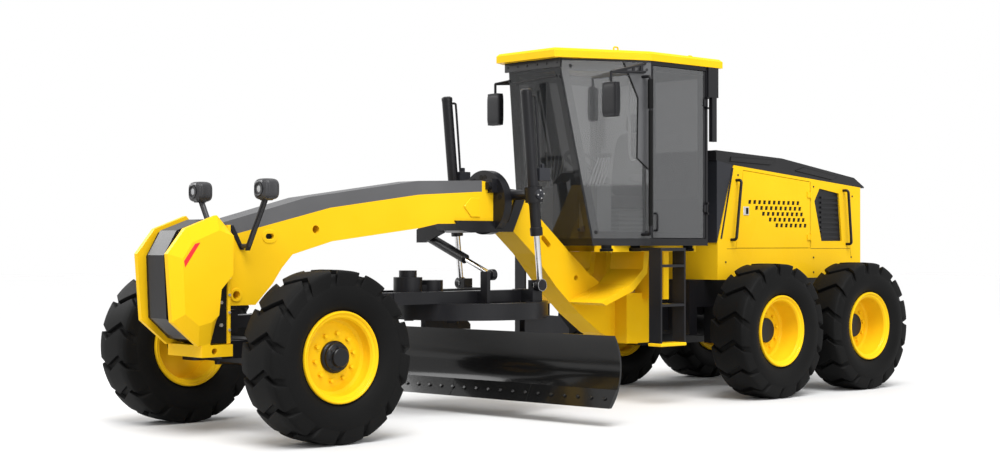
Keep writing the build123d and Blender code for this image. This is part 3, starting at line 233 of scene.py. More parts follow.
for place, station in STATIONS.items():
    for hand, side in LEFT_RIGHT:
        name = f"{place}_{hand}"
        body = f"wheel_{name}"
        middle = np.array((station, side * TRACK / 2, TYRE_R))
        out = np.array((0, side, 0))
        shapes = [turned(CASING, middle, out, ROUND)]
        shapes += [grid(block) for block in tread_blocks(middle)]
        tyre = piece(f"lugged_tyre_{name}", shapes, rubber, body, 40)
        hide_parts(f"tyre_{name}")
        dish = DISHES[place]
        web, back = ([(r, a + dish) for r, a in part] for part in (WEB, WEB_BACK))
        rim_shapes = [turned(web + LIP + back, middle, out, ROUND)]
        rim_shapes += bolt_heads(middle + dish * out, out, **RIM_NUTS)
        rim = piece(f"dished_rim_{name}", rim_shapes, yellow, body)
        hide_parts(f"rim_{name}")
        if place == "front":
            hub = [turned(FRONT_HUB, middle, out, 64)]
            hub += bolt_heads(middle + HUB_FACE * out, out, **HUB_BOLTS)
            hub += bolt_heads(middle + CAP_FACE * out, out, **CAP_BOLTS)
        else:
            hub = [turned(REAR_HUB, middle, out, 64), turned(VALVE, middle + VALVE_PLACE, out, 16)]
        piece(f"hub_{name}", hub, hub_black, body)

# Engine hood: folded yellow side panels with a hinged door on each side, under a moulded black top.
# Each door has a field of small slanted holes with dark mesh behind them and a pale paddle latch.
# Hexagon screws and dark seams run along the panels, and near-black lines round the raised fields of the
# top are painted shade at their edges.
HOOD_FACE = 0.6
SEAM = 0.002
LEFT_WARD = (0, 1, 0)
TOP_SHADES = ((0.008, 0.008, 0.009), (0.014, 0.014, 0.015))
charcoal = enamel("charcoal", (0.016, 0.017, 0.021), (0.024, 0.025, 0.030), 0.32)
top_black = enamel("top_black", *TOP_SHADES, 0.38, grain=0.0006, scale=220.0)
# Near-black for real dark parts such as seams, mesh and the paddle, and for painted shade in gaps, holes
# and at the edges of the top's fields.
black_and_painted_shade = enamel("black_and_painted_shade", (0.002, 0.002, 0.002), (0.004, 0.004, 0.004), 0.7)
zinc = enamel("zinc", (0.50, 0.50, 0.50), (0.62, 0.62, 0.62), 0.3, metal=0.7)
dress(yellow, "hood_shell", "engine_door_left", "engine_door_right")
dress(charcoal, "hood_front")
dress(top_black, "hood_top")
dress(black, "hood_grilles", "hood_rails")


def plate(outline, low, high, plane="xz", soft=0.003):
    """A flat plate: an outline in a plane, carried along the plane's normal from low to high. Both rims
    are drawn in along the corners' bisectors by the softening."""
    flat = np.array(outline, float)
    following = np.roll(flat, -1, 0)
    if np.sum(flat[:, 0] * following[:, 1] - following[:, 0] * flat[:, 1]) < 0:
        flat = flat[::-1]
    ahead = np.roll(flat, -1, 0) - flat
    ahead /= np.linalg.norm(ahead, axis=1)[:, None]
    before = np.roll(ahead, 1, 0)
    inward = np.stack([-ahead[:, 1] - before[:, 1], ahead[:, 0] + before[:, 0]], -1)
    drawn = flat + soft * inward / (1 + np.sum(ahead * before, 1))[:, None]
    rings = np.stack([drawn, flat, flat, drawn])
    heights = np.array([low, low + soft, high - soft, high])
    spread = np.broadcast_to(heights[:, None], rings.shape[:2])
    order = {"xz": (0, 2, 1), "xy": (0, 1, 2), "yz": (2, 0, 1)}[plane]
    stacked = np.stack([rings[..., 0], rings[..., 1], spread], -1)
    points, faces = grid(stacked[..., order], wrap_v=True)
    count = len(flat)
    return points, faces + [list(range(count))[::-1], list(range(3 * count, 4 * count))]


def oblong(across, up):
    """The outline of a rectangle between two ranges."""
    return [(across[0], up[0]), (across[0], up[1]), (across[1], up[1]), (across[1], up[0])]


def brick(x, y, z, soft=0.004):
    """A box with softened rims: the plate of its plan, between its two heights."""
    return plate(oblong(x, y), *z, "xy", soft)


def tube(path, radius, steps=1, sides=12):
    """A round bar along a path: its points, with steps between them on a Catmull-Rom curve, each ringed
    by a circle of the radius, square to the path."""
    knots = np.array(path, float)
    if steps > 1:
        ends = np.vstack([2 * knots[0] - knots[1], knots, 2 * knots[-1] - knots[-2]])
        a, b, c, d = (ends[i : len(ends) - 3 + i, None] for i in range(4))
        t = np.linspace(0, 1, steps, endpoint=False)[None, :, None]
        curve = b + 0.5 * t * (c - a + t * (2 * a - 5 * b + 4 * c - d + t * (3 * b - a - 3 * c + d)))
        knots = np.vstack([curve.reshape(-1, 3), knots[-1:]])
    along = np.gradient(knots, axis=0)
    along /= np.linalg.norm(along, axis=1)[:, None]
    spare = np.eye(3)[np.argmin(np.abs(along).max(0))]
    across = np.cross(along, spare)
    across /= np.linalg.norm(across, axis=1)[:, None]
    third = np.cross(across, along)
    t = np.linspace(0, 2 * pi, sides, endpoint=False)[None, :, None]
    ring = np.cos(t) * across[:, None] + np.sin(t) * third[:, None]
    points, faces = grid(knots[:, None] + radius * ring, wrap_v=True)
    last = len(points) - sides
    return points, faces + [list(range(sides))[::-1], list(range(last, last + sides))]


def heads(places, axis, radius, height):
    """Hexagon bolt heads, one at each place, standing along an axis."""
    return [head for place in places for head in bolt_heads(place, axis, 0.0, 1, radius, height)]


def both(name, shapes, material, bodies, angle=32):
    """A left piece and its mirror image across the machine's middle plane, each on its own body."""
    for (hand, side), body in zip(LEFT_RIGHT, bodies):
        mirrored = [(points * (1, side, 1), faces) for points, faces in shapes]
        piece(f"{name}_{hand}", mirrored, material, body, angle)


def seam_strip(start, end):
    """A dark strip along a joint of the hood's side: a narrow plate from start to end, barely proud."""
    (a, b), (c, d) = start, end
    outline = [(a, b - SEAM), (c + SEAM, d - SEAM), (c, d + SEAM), (a - SEAM, b + SEAM)]
    return plate(outline, 0.5985, 0.6012, soft=0.0004)


doors = ("engine_door_left", "engine_door_right")
rear_body = ("rear_frame", "rear_frame")
CELL = np.array([(0.0205, 0.0205), (-0.0265, 0.0205), (-0.0205, -0.0205), (0.0265, -0.0205)])
CELL_START = np.array((-6.643, 1.985))
CELL_ROW = np.array((-0.032, -0.0602))
CELL_STEP = np.array((0.0826, 0))
cells = [CELL_START + row * CELL_ROW + i * CELL_STEP for row in range(5) for i in range(11 - row)]
mesh_backs = [plate(CELL + place, 0.5895, 0.5935, soft=0.0005) for place in cells]
both("door_mesh", mesh_backs, black_and_painted_shade, doors)
latch = [plate(oblong((-5.797, -5.707), (1.845, 1.935)), 0.598, 0.606)]
both("door_latch", latch, zinc, doors)
paddle = [plate(oblong((-5.785, -5.745), (1.858, 1.922)), 0.604, 0.609)]
both("door_paddle", paddle, black_and_painted_shade, doors)
SCREWS = [(-5.62, 2.26), (-5.42, 1.36), (-6.92, 1.40), (-6.92, 2.17), (-7.62, 1.40), (-7.64, 2.08)]
SCREWS += [(-6.92, 1.24)]
screws = heads([(x, HOOD_FACE, z) for x, z in SCREWS], LEFT_WARD, 0.011, 0.006)
both("hood_screws", screws, hub_black, rear_body)
rib = plate([(-5.36, 1.60), (-5.335, 1.60), (-5.52, 2.33), (-5.545, 2.33)], 0.598, 0.606)
both("hood_front_trim", [rib], black, rear_body)
SEAMS = [((-6.87, 1.497), (-7.60, 1.497)), ((-7.62, 1.40), (-7.60, 1.497))]
SEAMS += [((-5.585, 1.497), (-5.44, 1.497)), ((-6.87, 2.22), (-6.87, 1.497))]
SEAMS += [((-7.60, 1.497), (-7.585, 2.10))]
strips = [seam_strip(start, end) for start, end in SEAMS]
both("hood_seams", strips, black_and_painted_shade, rear_body)
FRETS = [[(-5.505, 2.440), (-6.245, 2.432), (-6.150, 2.385), (-5.490, 2.400)]]
FRETS += [[(-6.740, 2.370), (-7.350, 2.290), (-7.240, 2.258), (-6.595, 2.335)]]
# The near-black tubes along each field's outline are painted shade, where the edges of the fields fall
# dark.
fret_edge_shades = [tube([(x, 0.602, z) for x, z in fret + fret[:1]], 0.007, sides=8) for fret in FRETS]
both("fret_painted_shade", fret_edge_shades, black_and_painted_shade, rear_body)

# Front frame: a box beam welded from thick plate, with a dark walkway along its top and a bolted nose.
# The flange behind the nose, the pivot's boss and the doubler plate are yellow, with zinc nuts, and a
# near-black plate behind each cheek is painted shade.
WALKWAY_SHADES = ((0.075, 0.075, 0.078), (0.10, 0.10, 0.104))
BEAM_SIDE = 0.139
front_body = ("front_frame", "front_frame")
grey = enamel("walkway_grey", *WALKWAY_SHADES, 0.5, grain=0.0008, scale=150.0)
red = enamel("red_marker", (0.75, 0.02, 0.02), (0.85, 0.03, 0.03), 0.3)
dress(yellow, "front_frame", "nose_cheeks")
dress(grey, "frame_top")
dress(black, "nose_core")
FLASH = [(0.813, 1.415), (0.713, 1.550), (0.665, 1.560), (0.803, 1.365)]
both("nose_marker", [plate(FLASH, 0.299, 0.302, soft=0.0006)], red, front_body)
flange = [plate(oblong((0.338, 0.366), (0.75, 1.70)), 0.138, 0.232)]
both("nose_flange", flange, yellow, front_body)
# A near-black plate behind the cheek's rear edge is painted shade, where the gap between cheek and flange
# falls dark.
RECESS = [(0.36, 1.27), (0.45, 1.17), (0.47, 0.96), (0.525, 0.755), (0.36, 0.755)]
both("nose_painted_shade", [plate(RECESS, 0.19, 0.214)], black_and_painted_shade, front_body)
FLANGE_NUTS = [(0.352, 0.232, z) for z in (0.86, 1.00, 1.14, 1.28, 1.40, 1.52, 1.63)]
RECESS_NUTS = [(0.42, 0.214, z) for z in (0.90, 1.08)]
nuts = heads(FLANGE_NUTS, LEFT_WARD, 0.012, 0.012) + heads(RECESS_NUTS, LEFT_WARD, 0.016, 0.016)
both("nose_nuts", nuts, zinc, front_body)
BOSS = [(0.034, BEAM_SIDE), (0.034, 0.152), (0.052, 0.152), (0.056, 0.148), (0.056, BEAM_SIDE)]
DOUBLER = [(-2.229, 1.891), (-2.317, 1.974), (-2.43, 1.974), (-2.43, 1.793), (-2.322, 1.793)]
welded = [turned(BOSS, (0.23, 0, 1.135), LEFT_WARD, 48), plate(DOUBLER, BEAM_SIDE, 0.150, soft=0.006)]
both("beam_doublers", welded, yellow, front_body)


def slot_ring(centre, flat, rows):
    """The rim of a long hole in the beam's side: over the angle t, a point lies at the centre, plus a flat
    half length fore or aft by the sign of t's cosine, plus the row's radius along t, at the row's depth."""
    t = np.linspace(0, 2 * pi, 48, endpoint=False)[None, :]
    radius, depth = np.array(rows, float).T[:, :, None]
    x = centre[0] + np.sign(np.cos(t)) * flat + radius * np.cos(t)
    z = centre[1] + radius * np.sin(t)
    return grid(np.stack([x, np.broadcast_to(depth, x.shape), z], -1), wrap_v=True)


SLOT_RIM = [(0.056, 0.138), (0.056, 0.143), (0.052, 0.146), (0.026, 0.146), (0.022, 0.143), (0.022, 0.112)]
both("slot_rims", [slot_ring((-0.10, 1.61), 0.018, SLOT_RIM)], yellow, front_body)
# A near-black plate inside each slot is painted shade, for the dark inside of the beam.
painted_slot_shade = [plate(oblong((-0.148, -0.052), (1.572, 1.648)), 0.108, 0.112)]
both("painted_slot_shades", painted_slot_shade, black_and_painted_shade, front_body)

# Headlamps: moulded dark shells with upright flutes, each with a round lens behind a bezel. They stand
# on flat steel straps that meet in a V on the beam's side.
LAMP_Y, LAMP_Z = 0.484, 1.985
FLUTE_DEPTH = 0.022
FORWARD = (1, 0, 0)
lamp_shell = enamel("lamp_shell", (0.030, 0.030, 0.032), (0.045, 0.045, 0.048), 0.36)
lens_grey = enamel("lens", (0.30, 0.31, 0.32), (0.36, 0.37, 0.38), 0.08, coat=0.6)
dress(lamp_shell, "headlamps")


def cushion(centre, size, power=0.35, lean=0.0, flutes=0):
    """A stuffed block: over the angles u and v of a ball, each coordinate is half the size times the sines
    and cosines raised to a power below one, which squares it. It is then tipped back about the Y direction
    by the lean. Flutes draw the waist in by a cosine of u."""
    u = np.linspace(0, 2 * pi, 96, endpoint=False)[None, :]
    v = np.linspace(-pi / 2, pi / 2, 33)[:, None]

    def bulged(wave):
        return np.sign(wave) * np.abs(wave) ** power

    waist = bulged(np.cos(v)) * (1 - FLUTE_DEPTH * (flutes > 0) * (1 + np.cos(flutes * u)))
    x = waist * bulged(np.cos(u)) * size[0] / 2
    y = waist * bulged(np.sin(u)) * size[1] / 2
    z = bulged(np.sin(v)) * np.ones_like(u) * size[2] / 2
    tipped = np.stack([x * cos(lean) - z * sin(lean), y, x * sin(lean) + z * cos(lean)], -1)
    return grid(tipped + np.array(centre), wrap_v=True)


housing = [cushion((0.168, LAMP_Y, LAMP_Z), (0.158, 0.196, 0.172), 0.55, flutes=12)]
both("lamp_housings", housing, lamp_shell, front_body, 60)
BEZEL = [(0.042, -0.03), (0.042, 0.004), (0.054, 0.007), (0.060, 0.002), (0.060, -0.03)]
bezels = [turned(BEZEL, (0.243, LAMP_Y, LAMP_Z), FORWARD, 40)]
both("lamp_bezels", bezels, hub_black, front_body)
LENS = [(0.0, 0.005), (0.02, 0.004), (0.040, -0.001), (0.042, -0.006)]
lenses = [turned(LENS, (0.241, LAMP_Y, LAMP_Z), FORWARD, 40)]
both("lamp_lenses", lenses, lens_grey, front_body)
POST_ENDS = np.array([(0.17, 0.205, 1.505), (0.17, 0.476, 1.935)])
POST_FACE = np.array((0, 0.846, -0.533))
POST_SECTION = np.array([(-0.022, 0.012), (0.022, 0.012), (0.022, 0.020), (-0.022, 0.020)])
section = POST_SECTION[:, :1] * FORWARD + POST_SECTION[:, 1:] * POST_FACE
points, faces = grid(POST_ENDS[:, None] + section, wrap_v=True)
straps = [(points, faces + [[3, 2, 1, 0], [4, 5, 6, 7]])]
straps += [plate([(0.150, 1.50), (0.192, 1.50), (0.300, 1.70), (0.256, 1.70)], BEAM_SIDE, 0.150)]
straps += [brick((0.13, 0.21), (0.45, 0.52), (1.895, 1.903))]
both("lamp_straps", straps, black, front_body)

# Saddle and lift cylinders: a lock ring, a trough and arms cast in one, with long black barrels in collars.
# Steel pipes run up the barrels from a valve block, and the rods are hard chrome with black eyes.
LIFT_Y = 0.55
LIFT_LEAN = (0.1010, 0, 0.9949)
BARREL_FOOT, BARREL_TOP, COLLAR_Z = 1.635, 2.95, 2.0
chrome = enamel("chrome", (0.62, 0.62, 0.63), (0.70, 0.70, 0.71), 0.10, metal=1.0, grain=0.00002)
dress(black, "saddle", "lift_barrels", "shift_barrel")
dress(chrome, "lift_rod_left", "lift_rod_right", "shift_rod")


def lift_axis(z, back=0.0, y=LIFT_Y):
    """A point at a height on the leaning axis of the left lift cylinder, or set back from it."""
    return (-2.764 + (z - 1.63) * 0.1015 - back, y, z)


GLAND = [(0.029, -0.012), (0.056, -0.012), (0.058, 0.0), (0.058, 0.06), (0.052, 0.066), (0.049, 0.066)]
BARREL_CAP = [(0.0, 0.014), (0.03, 0.014), (0.05, 0.004), (0.053, -0.004), (0.053, -0.03), (0.049, -0.03)]
barrel_ends = [turned(GLAND, lift_axis(BARREL_FOOT), LIFT_LEAN, 40)]
barrel_ends += [turned(BARREL_CAP, lift_axis(BARREL_TOP), LIFT_LEAN, 40)]
both("barrel_glands", barrel_ends, hub_black, front_body)
RISER = [(2.90, 0.052), (2.90, 0.10), (2.85, 0.108), (2.5, 0.105), (2.24, 0.10)]
pipe = tube([lift_axis(z, back) for z, back in RISER], 0.011, 6)
both("barrel_pipes", [pipe], black, front_body)
valve = [brick((-2.89, -2.755), (0.50, 0.60), (2.125, 2.245))]
valve += [brick((-2.845, -2.815), (0.53, 0.57), (2.24, 2.285))]
both("valve_blocks", valve, charcoal, front_body)
PIN = [(0.0, 0.10), (0.03, 0.10), (0.045, 0.092), (0.05, 0.08), (0.05, 0.0)]
pins = [turned(PIN, lift_axis(COLLAR_Z), LEFT_WARD, 40)]
pins += heads([lift_axis(COLLAR_Z, y=0.648)], LEFT_WARD, 0.016, 0.01)
both("collar_pins", pins, charcoal, front_body)
nuts = bolt_heads(lift_axis(COLLAR_Z, y=0.643), LEFT_WARD, 0.036, 4, 0.008, 0.008)
both("collar_nuts", nuts, zinc, front_body)
LIFT_EYE = [(0.0, -0.033), (0.046, -0.033), (0.057, -0.028), (0.057, 0.028), (0.046, 0.033), (0.0, 0.033)]
lift_eyes = [turned(LIFT_EYE, (-2.811, LIFT_Y, 1.17), LEFT_WARD, 40)]
both("rod_eyes", lift_eyes, black, ("lift_rod_left", "lift_rod_right"))
SHIFT_EYE = [(0.0, -0.028), (0.040, -0.028), (0.050, -0.023), (0.050, 0.023), (0.040, 0.028), (0.0, 0.028)]
piece("shift_eye", [turned(SHIFT_EYE, (-2.3, 0.45, 1.27), FORWARD, 40)], black, "shift_rod")
RING_X, RING_Z, RING_R = -2.599, 1.935, 0.235
# Near-black discs on the lock ring are painted shade, standing for the dark insides of its holes.
HOLE = [(0.0, 0.0015), (0.024, 0.0015), (0.026, -0.004)]
holes = [(RING_X, RING_R * cos(a), RING_Z + RING_R * sin(a)) for a in (0.2, 0.62, 1.04, 1.46)]
dark = [turned(HOLE, hole, FORWARD, 24) for hole in holes]
both("ring_hole_shades", dark, black_and_painted_shade, front_body)
lock = [tube([(-2.50, 0.16, 2.085), (-2.60, 0.16, 2.085)], 0.036, sides=24)]
lock += [brick((-2.60, -2.53), (0.10, 0.20), (2.02, 2.15))]
both("lock_pins", lock, black, front_body)

# Drawbar and circle: a welded A-frame over a ring, with a gearbox and its motor on the deck.
# All of it is black enamelled steel, and zinc plated pins lie through the ears for the lift rods.
dress(black, "drawbar", "circle_drive", "circle", "tilt_brackets")
ear_pins = [tube([(-2.865, 0.512, 1.17), (-2.757, 0.512, 1.17)], 0.02, sides=16)]
both("eye_pins", ear_pins, zinc, ("drawbar", "drawbar"))

# Blade: a mouldboard rolled from plate, in gloss black, with its left end set a little back at rest.
# Hardened edges in four lengths are held along its foot by a row of round headed bolts.
GLOSS_SHADES = ((0.005, 0.005, 0.005), (0.008, 0.008, 0.008))
SWING = radians(6)
CIRCLE_X = -2.4
EDGE_FOOT = np.array((0.2420, 0.162))
EDGE_RISE = np.array((-0.0762, 0.150))
EDGE_OUT = np.array((0.8915, 0, 0.4529))
blade_black = enamel("blade_black", *GLOSS_SHADES, 0.12, coat=0.1, grain=0.0001)
edge_black = enamel("edge_black", (0.006, 0.006, 0.006), (0.012, 0.012, 0.012), 0.24)
dress(blade_black, "blade")


def on_blade(shapes):
    """Shapes drawn with x ahead of the circle's axis and y along the blade, turned to its rest angle."""
    turn = np.array(((cos(SWING), sin(SWING), 0), (-sin(SWING), cos(SWING), 0), (0, 0, 1)))
    return [(points @ turn + (CIRCLE_X, 0, 0), faces) for points, faces in shapes]


def on_edge(share, y):
    """A point on the face of the edge: a share of its rise above its foot, at a place along the blade."""
    x, z = EDGE_FOOT + share * EDGE_RISE
    return (x, y, z)


ROUND_HEAD = [(0.0, 0.003), (0.012, 0.003), (0.016, -0.002)]
bolts = [turned(ROUND_HEAD, on_edge(0.55, y), EDGE_OUT, 20) for y in np.linspace(-1.75, 1.75, 25)]
piece("edge_bolts", on_blade(bolts), edge_black, "blade")
EDGE_JOINTS = (-0.915, 0.0, 0.915)
gaps = [tube([on_edge(0.02, y), on_edge(0.98, y)], 0.0015, sides=8) for y in EDGE_JOINTS]
piece("edge_seams", on_blade(gaps), black_and_painted_shade, "blade")

# Cab shell: folded black posts and headers on a black floor plate, under a moulded yellow roof.
# A bolted fascia closes the front under the roof, and round rubber feet carry the floor on the rails.
POST_X = -4.067
CAB_HALF = 0.780
CORNER_SLOPE = 0.54
dress(black, "cab_frame", "cab_floor", "cab_door_left", "cab_door_right")
dress(yellow, "cab_roof")


def screen_x(z):
    """Where the leaning windscreen's outer face stands at a height."""
    return -3.550 + (z - 1.570) * 0.1724


def side_y(x):
    """How far out the cab's slanted front corner stands at a place along the machine."""
    return CAB_HALF - CORNER_SLOPE * (x - POST_X)


head_x = screen_x(3.27)
fascia = [plate(oblong((-0.385, 0.385), (3.222, 3.312)), head_x - 0.002, head_x + 0.022, "yz")]
piece("roof_fascia", fascia, black, "front_frame")
FASCIA_BOLTS = (-0.34, -0.2, -0.07, 0.07, 0.2, 0.34)
dots = heads([(head_x + 0.021, y, 3.266) for y in FASCIA_BOLTS], FORWARD, 0.010, 0.008)
piece("fascia_bolts", dots, hub_black, "front_frame")
FOOT = [(0.0, -0.03), (0.06, -0.03), (0.064, -0.024), (0.064, -0.006), (0.05, 0.0), (0.05, 0.03)]
feet = [turned(FOOT, (x, 0.62, 1.505), (0, 0, 1), 32) for x in (-3.62, -4.02, -4.80)]
both("cab_feet", feet, rubber, front_body)

# Seat and controls: a sprung seat with a moulded foam cushion and back in woven cloth, over pale bellows.
# A row of lever rods with dark knobs stands in a box on each side of the steering console.
SEAT_X = -4.45
CAB_DECK = 1.582
CLOTH_SHADES = ((0.050, 0.050, 0.054), (0.075, 0.075, 0.080))
BACK_LEAN = 0.16
cloth = enamel("seat_cloth", *CLOTH_SHADES, 0.85, grain=0.0015, scale=400.0)
pale_grey = enamel("pale_grey", (0.74, 0.75, 0.76), (0.80, 0.81, 0.82), 0.5)
dress(charcoal, "console")
base = [brick((-4.60, -4.30), (-0.16, 0.16), (CAB_DECK, 1.64))]
fold = np.array([0.17, 0.20] * 6 + [0.17])[:, None]
corner = np.array([(1, 1), (-1, 1), (-1, -1), (1, -1)])
x, y = SEAT_X + corner[:, 0] * fold, corner[:, 1] * fold
z = np.broadcast_to(np.linspace(1.64, 1.90, len(fold))[:, None], x.shape)
bellows = [grid(np.stack([x, y, z], -1), wrap_v=True)]
piece("seat_bellows", base + bellows, pale_grey, "front_frame", 10)
foam = [cushion((-4.44, 0, 1.965), (0.48, 0.50, 0.135))]
pad = piece("seat_cushion", foam, cloth, "front_frame", 60)
foam = [cushion((-4.665, 0, 2.355), (0.13, 0.48, 0.66), 0.4, BACK_LEAN)]
rest = piece("seat_back", foam, cloth, "front_frame", 60)
foam = [cushion((-4.735, 0, 2.785), (0.09, 0.27, 0.19), 0.45, BACK_LEAN)]
prop = piece("headrest", foam, cloth, "front_frame", 60)
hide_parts("seat")
rods = []
knobs = []
for y in np.linspace(0.21, 0.39, 5):
    grip = (-3.93 + 0.25 * (y - 0.2), y + 0.03, 2.41)
    rods.append(tube([(-3.80, y, 2.10), (-3.86, y + 0.01, 2.25), grip], 0.006, 4, 8))
    knobs.append(cushion(grip, (0.034, 0.034, 0.052), 0.8))
both("lever_rods", rods, pale_grey, front_body)
both("lever_knobs", knobs, hub_black, front_body, 60)
box = [brick((-3.90, -3.70), (0.18, 0.42), (CAB_DECK, 2.12), 0.015)]
both("lever_boxes", box, pale_grey, front_body)
arms = [cushion((-4.46, 0.31, 2.20), (0.34, 0.09, 0.08), 0.5)]
both("armrests", arms, cloth, front_body, 60)
POLE = [(-3.98, 0.66, 2.35), (-3.95, 0.62, 2.42), (-3.95, 0.62, 3.06), (-3.98, 0.66, 3.13)]
both("inner_grabs", [tube(POLE, 0.013, 6)], pale_grey, front_body)

# Cab glass: flat tinted panes bonded edge to edge over the posts, with round buttons at their corners.
# A dark cover plate hides the top of each side post, and the doors are panes over a thin frame.
SILL, HEAD = 1.600, 3.290
DOOR_SILL, DOOR_HEAD, DOOR_Y = 1.606, 3.262, 0.7755
DOOR_FRONT, DOOR_BACK = -4.105, -4.845
GLASS_ROUGH = 0.03


def glazing(name, tint, clear):
    """Tinted safety glass: a smooth dark sheet of which the clear share lets light straight through."""
    made = bpy.data.materials.new(name)
    made.use_nodes = True
    shader = made.node_tree.nodes["Principled BSDF"]
    shader.inputs["Base Color"].default_value = (*tint, 1)
    shader.inputs["Roughness"].default_value = GLASS_ROUGH
    shader.inputs["Alpha"].default_value = 1 - clear
    return made


def pane(corners, thick=0.006):
    """A flat sheet: its corners in one plane, and the same corners moved along the plane's normal."""
    near = np.array(corners, float)
    normal = np.cross(near[1] - near[0], near[2] - near[0])
    normal /= np.linalg.norm(normal)
    points, faces = grid(np.stack([near, near + thick * normal]), wrap_v=True)
    count = len(near)
    return points, faces + [list(range(count))[::-1], list(range(count, 2 * count))]


def on_corner(x, z, proud=0.0):
    """A point on the outer face of the slanted side pane, or proud of it."""
    return np.array((x, side_y(x) + 0.002, z)) + proud * CORNER_OUT


side_glass = glazing("side_glass", (0.085, 0.087, 0.089), 0.44)
front_glass = glazing("front_glass", (0.020, 0.021, 0.022), 0.36)
door_glass = glazing("door_glass", (0.095, 0.097, 0.100), 0.42)
CORNER_OUT = np.array((CORNER_SLOPE, 1, 0)) / np.hypot(CORNER_SLOPE, 1)
sill_x, top_x = (screen_x(z) - 0.010 for z in (SILL, HEAD))
slanted = [(POST_X, HEAD), (top_x, HEAD), (sill_x, SILL), (POST_X, SILL)]
both("side_pane", [pane([on_corner(x, z) for x, z in slanted])], side_glass, front_body)
low_end, high_end = ((x + 0.012, side_y(x) - 0.006, z) for x, z in ((sill_x, SILL), (top_x, HEAD)))
screen = [low_end * np.array((1, -1, 1)), low_end, high_end, high_end * np.array((1, -1, 1))]
windscreen = piece("windscreen", [pane(screen)], front_glass, "front_frame")
rear = [(-4.921, y, z) for y, z in ((0.74, 1.95), (-0.74, 1.95), (-0.74, 3.27), (0.74, 3.27))]
piece("rear_pane", [pane(rear)], door_glass, "front_frame")
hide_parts("cab_glass")
BUTTON = [(0.0, 0.008), (0.012, 0.008), (0.017, 0.003), (0.018, -0.002)]
STUDS = [(-4.03, 3.22), (-3.36, 3.24), (-4.03, 1.66), (-3.58, 1.66)]
studs = [turned(BUTTON, on_corner(x, z, 0.005), CORNER_OUT, 20) for x, z in STUDS]
both("pane_buttons", studs, hub_black, front_body)
SCREEN_OUT = (0.985, 0, -0.17)
studs = [turned(BUTTON, (screen_x(z) + 0.010, 0.35, z), SCREEN_OUT, 20) for z in (3.14, 1.68)]
both("screen_buttons", studs, hub_black, front_body)
wiper = [tube([(screen_x(3.13) + 0.014, y, 3.13 + 0.05 * y) for y in (-0.30, 0.0, 0.30)], 0.008)]
piece("wiper_blade", wiper, hub_black, "front_frame")
panel_grey = enamel("panel_grey", (0.060, 0.061, 0.064), (0.075, 0.076, 0.080), 0.3)
COVER = [(-3.831, 3.285), (POST_X, 3.285), (POST_X, 2.248), (-3.948, 2.374), (-3.957, 2.948)]
COVER_RIM = [(-3.815, 3.285), (POST_X, 3.285), (POST_X, 2.230), (-3.936, 2.366), (-3.944, 2.944)]
rims = [pane([on_corner(x, z, 0.008) for x, z in COVER_RIM], 0.002)]
both("post_rims", rims, black_and_painted_shade, front_body)
covers = [pane([on_corner(x, z, 0.011) for x, z in COVER], 0.002)]
both("post_panels", covers, panel_grey, front_body)
for hand, side in LEFT_RIGHT:
    outline = oblong((DOOR_FRONT, DOOR_BACK), (DOOR_SILL, DOOR_HEAD))
    sheet = [pane([(x, side * DOOR_Y, z) for x, z in outline][::-side])]
    door_pane = piece(f"door_pane_{hand}", sheet, door_glass, f"cab_door_{hand}")
    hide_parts(f"cab_door_glass_{hand}")

# Mirrors, grab bars and ladder: black tube and plate, with webs welded between a mirror's two arms.
# The mirrors are moulded shells with their glass facing back, and rubber sleeves cover the grab bars.
# The ladder ends in a yellow tread.
MIRROR_Y = 0.80
GRAB_X, GRAB_Y = -3.99, 0.85
dress(black, "mirrors", "steps")
silver = enamel("mirror_silver", (0.75, 0.75, 0.76), (0.80, 0.80, 0.81), 0.02, metal=1.0, grain=0.0)
face = oblong((MIRROR_Y - 0.075, MIRROR_Y + 0.075), (2.76, 3.045))
both("mirror_faces", [plate(face, -3.5345, -3.5335, "yz", 0.0002)], silver, front_body)
sleeves = [tube([(GRAB_X, GRAB_Y, z) for z in (1.72, 2.2, 2.82)], 0.020, sides=20)]
sleeves += [tube([(GRAB_X, GRAB_Y, z) for z in (2.84, 2.98, 3.12)], 0.027, sides=24)]
both("grab_sleeves", sleeves, rubber, front_body)
ARM_ROOTS = np.array([(-3.985, 0.7595, 3.270), (-3.985, 0.7595, 3.197)])
ARM_TIPS = np.array([(-3.495, MIRROR_Y, 3.168), (-3.495, MIRROR_Y, 3.150)])
webs = []
for near, far in ((0.02, 0.10), (0.28, 0.36), (0.52, 0.60), (0.74, 1.0)):
    start, end = (ARM_ROOTS + (ARM_TIPS - ARM_ROOTS) * share for share in (near, far))
    webs.append(pane([start[0], end[0], end[1], start[1]], 0.010))
both("mirror_webs", webs, black, front_body)
mirror = [cushion((-3.495, MIRROR_Y, 2.9025), (0.074, 0.186, 0.325), 0.3)]
both("mirror_shells", mirror, black, front_body, 50)
tread = [brick((-4.325, -3.955), (0.850, 1.010), (0.572, 0.603), 0.006)]
both("foot_treads", tread, yellow, front_body)

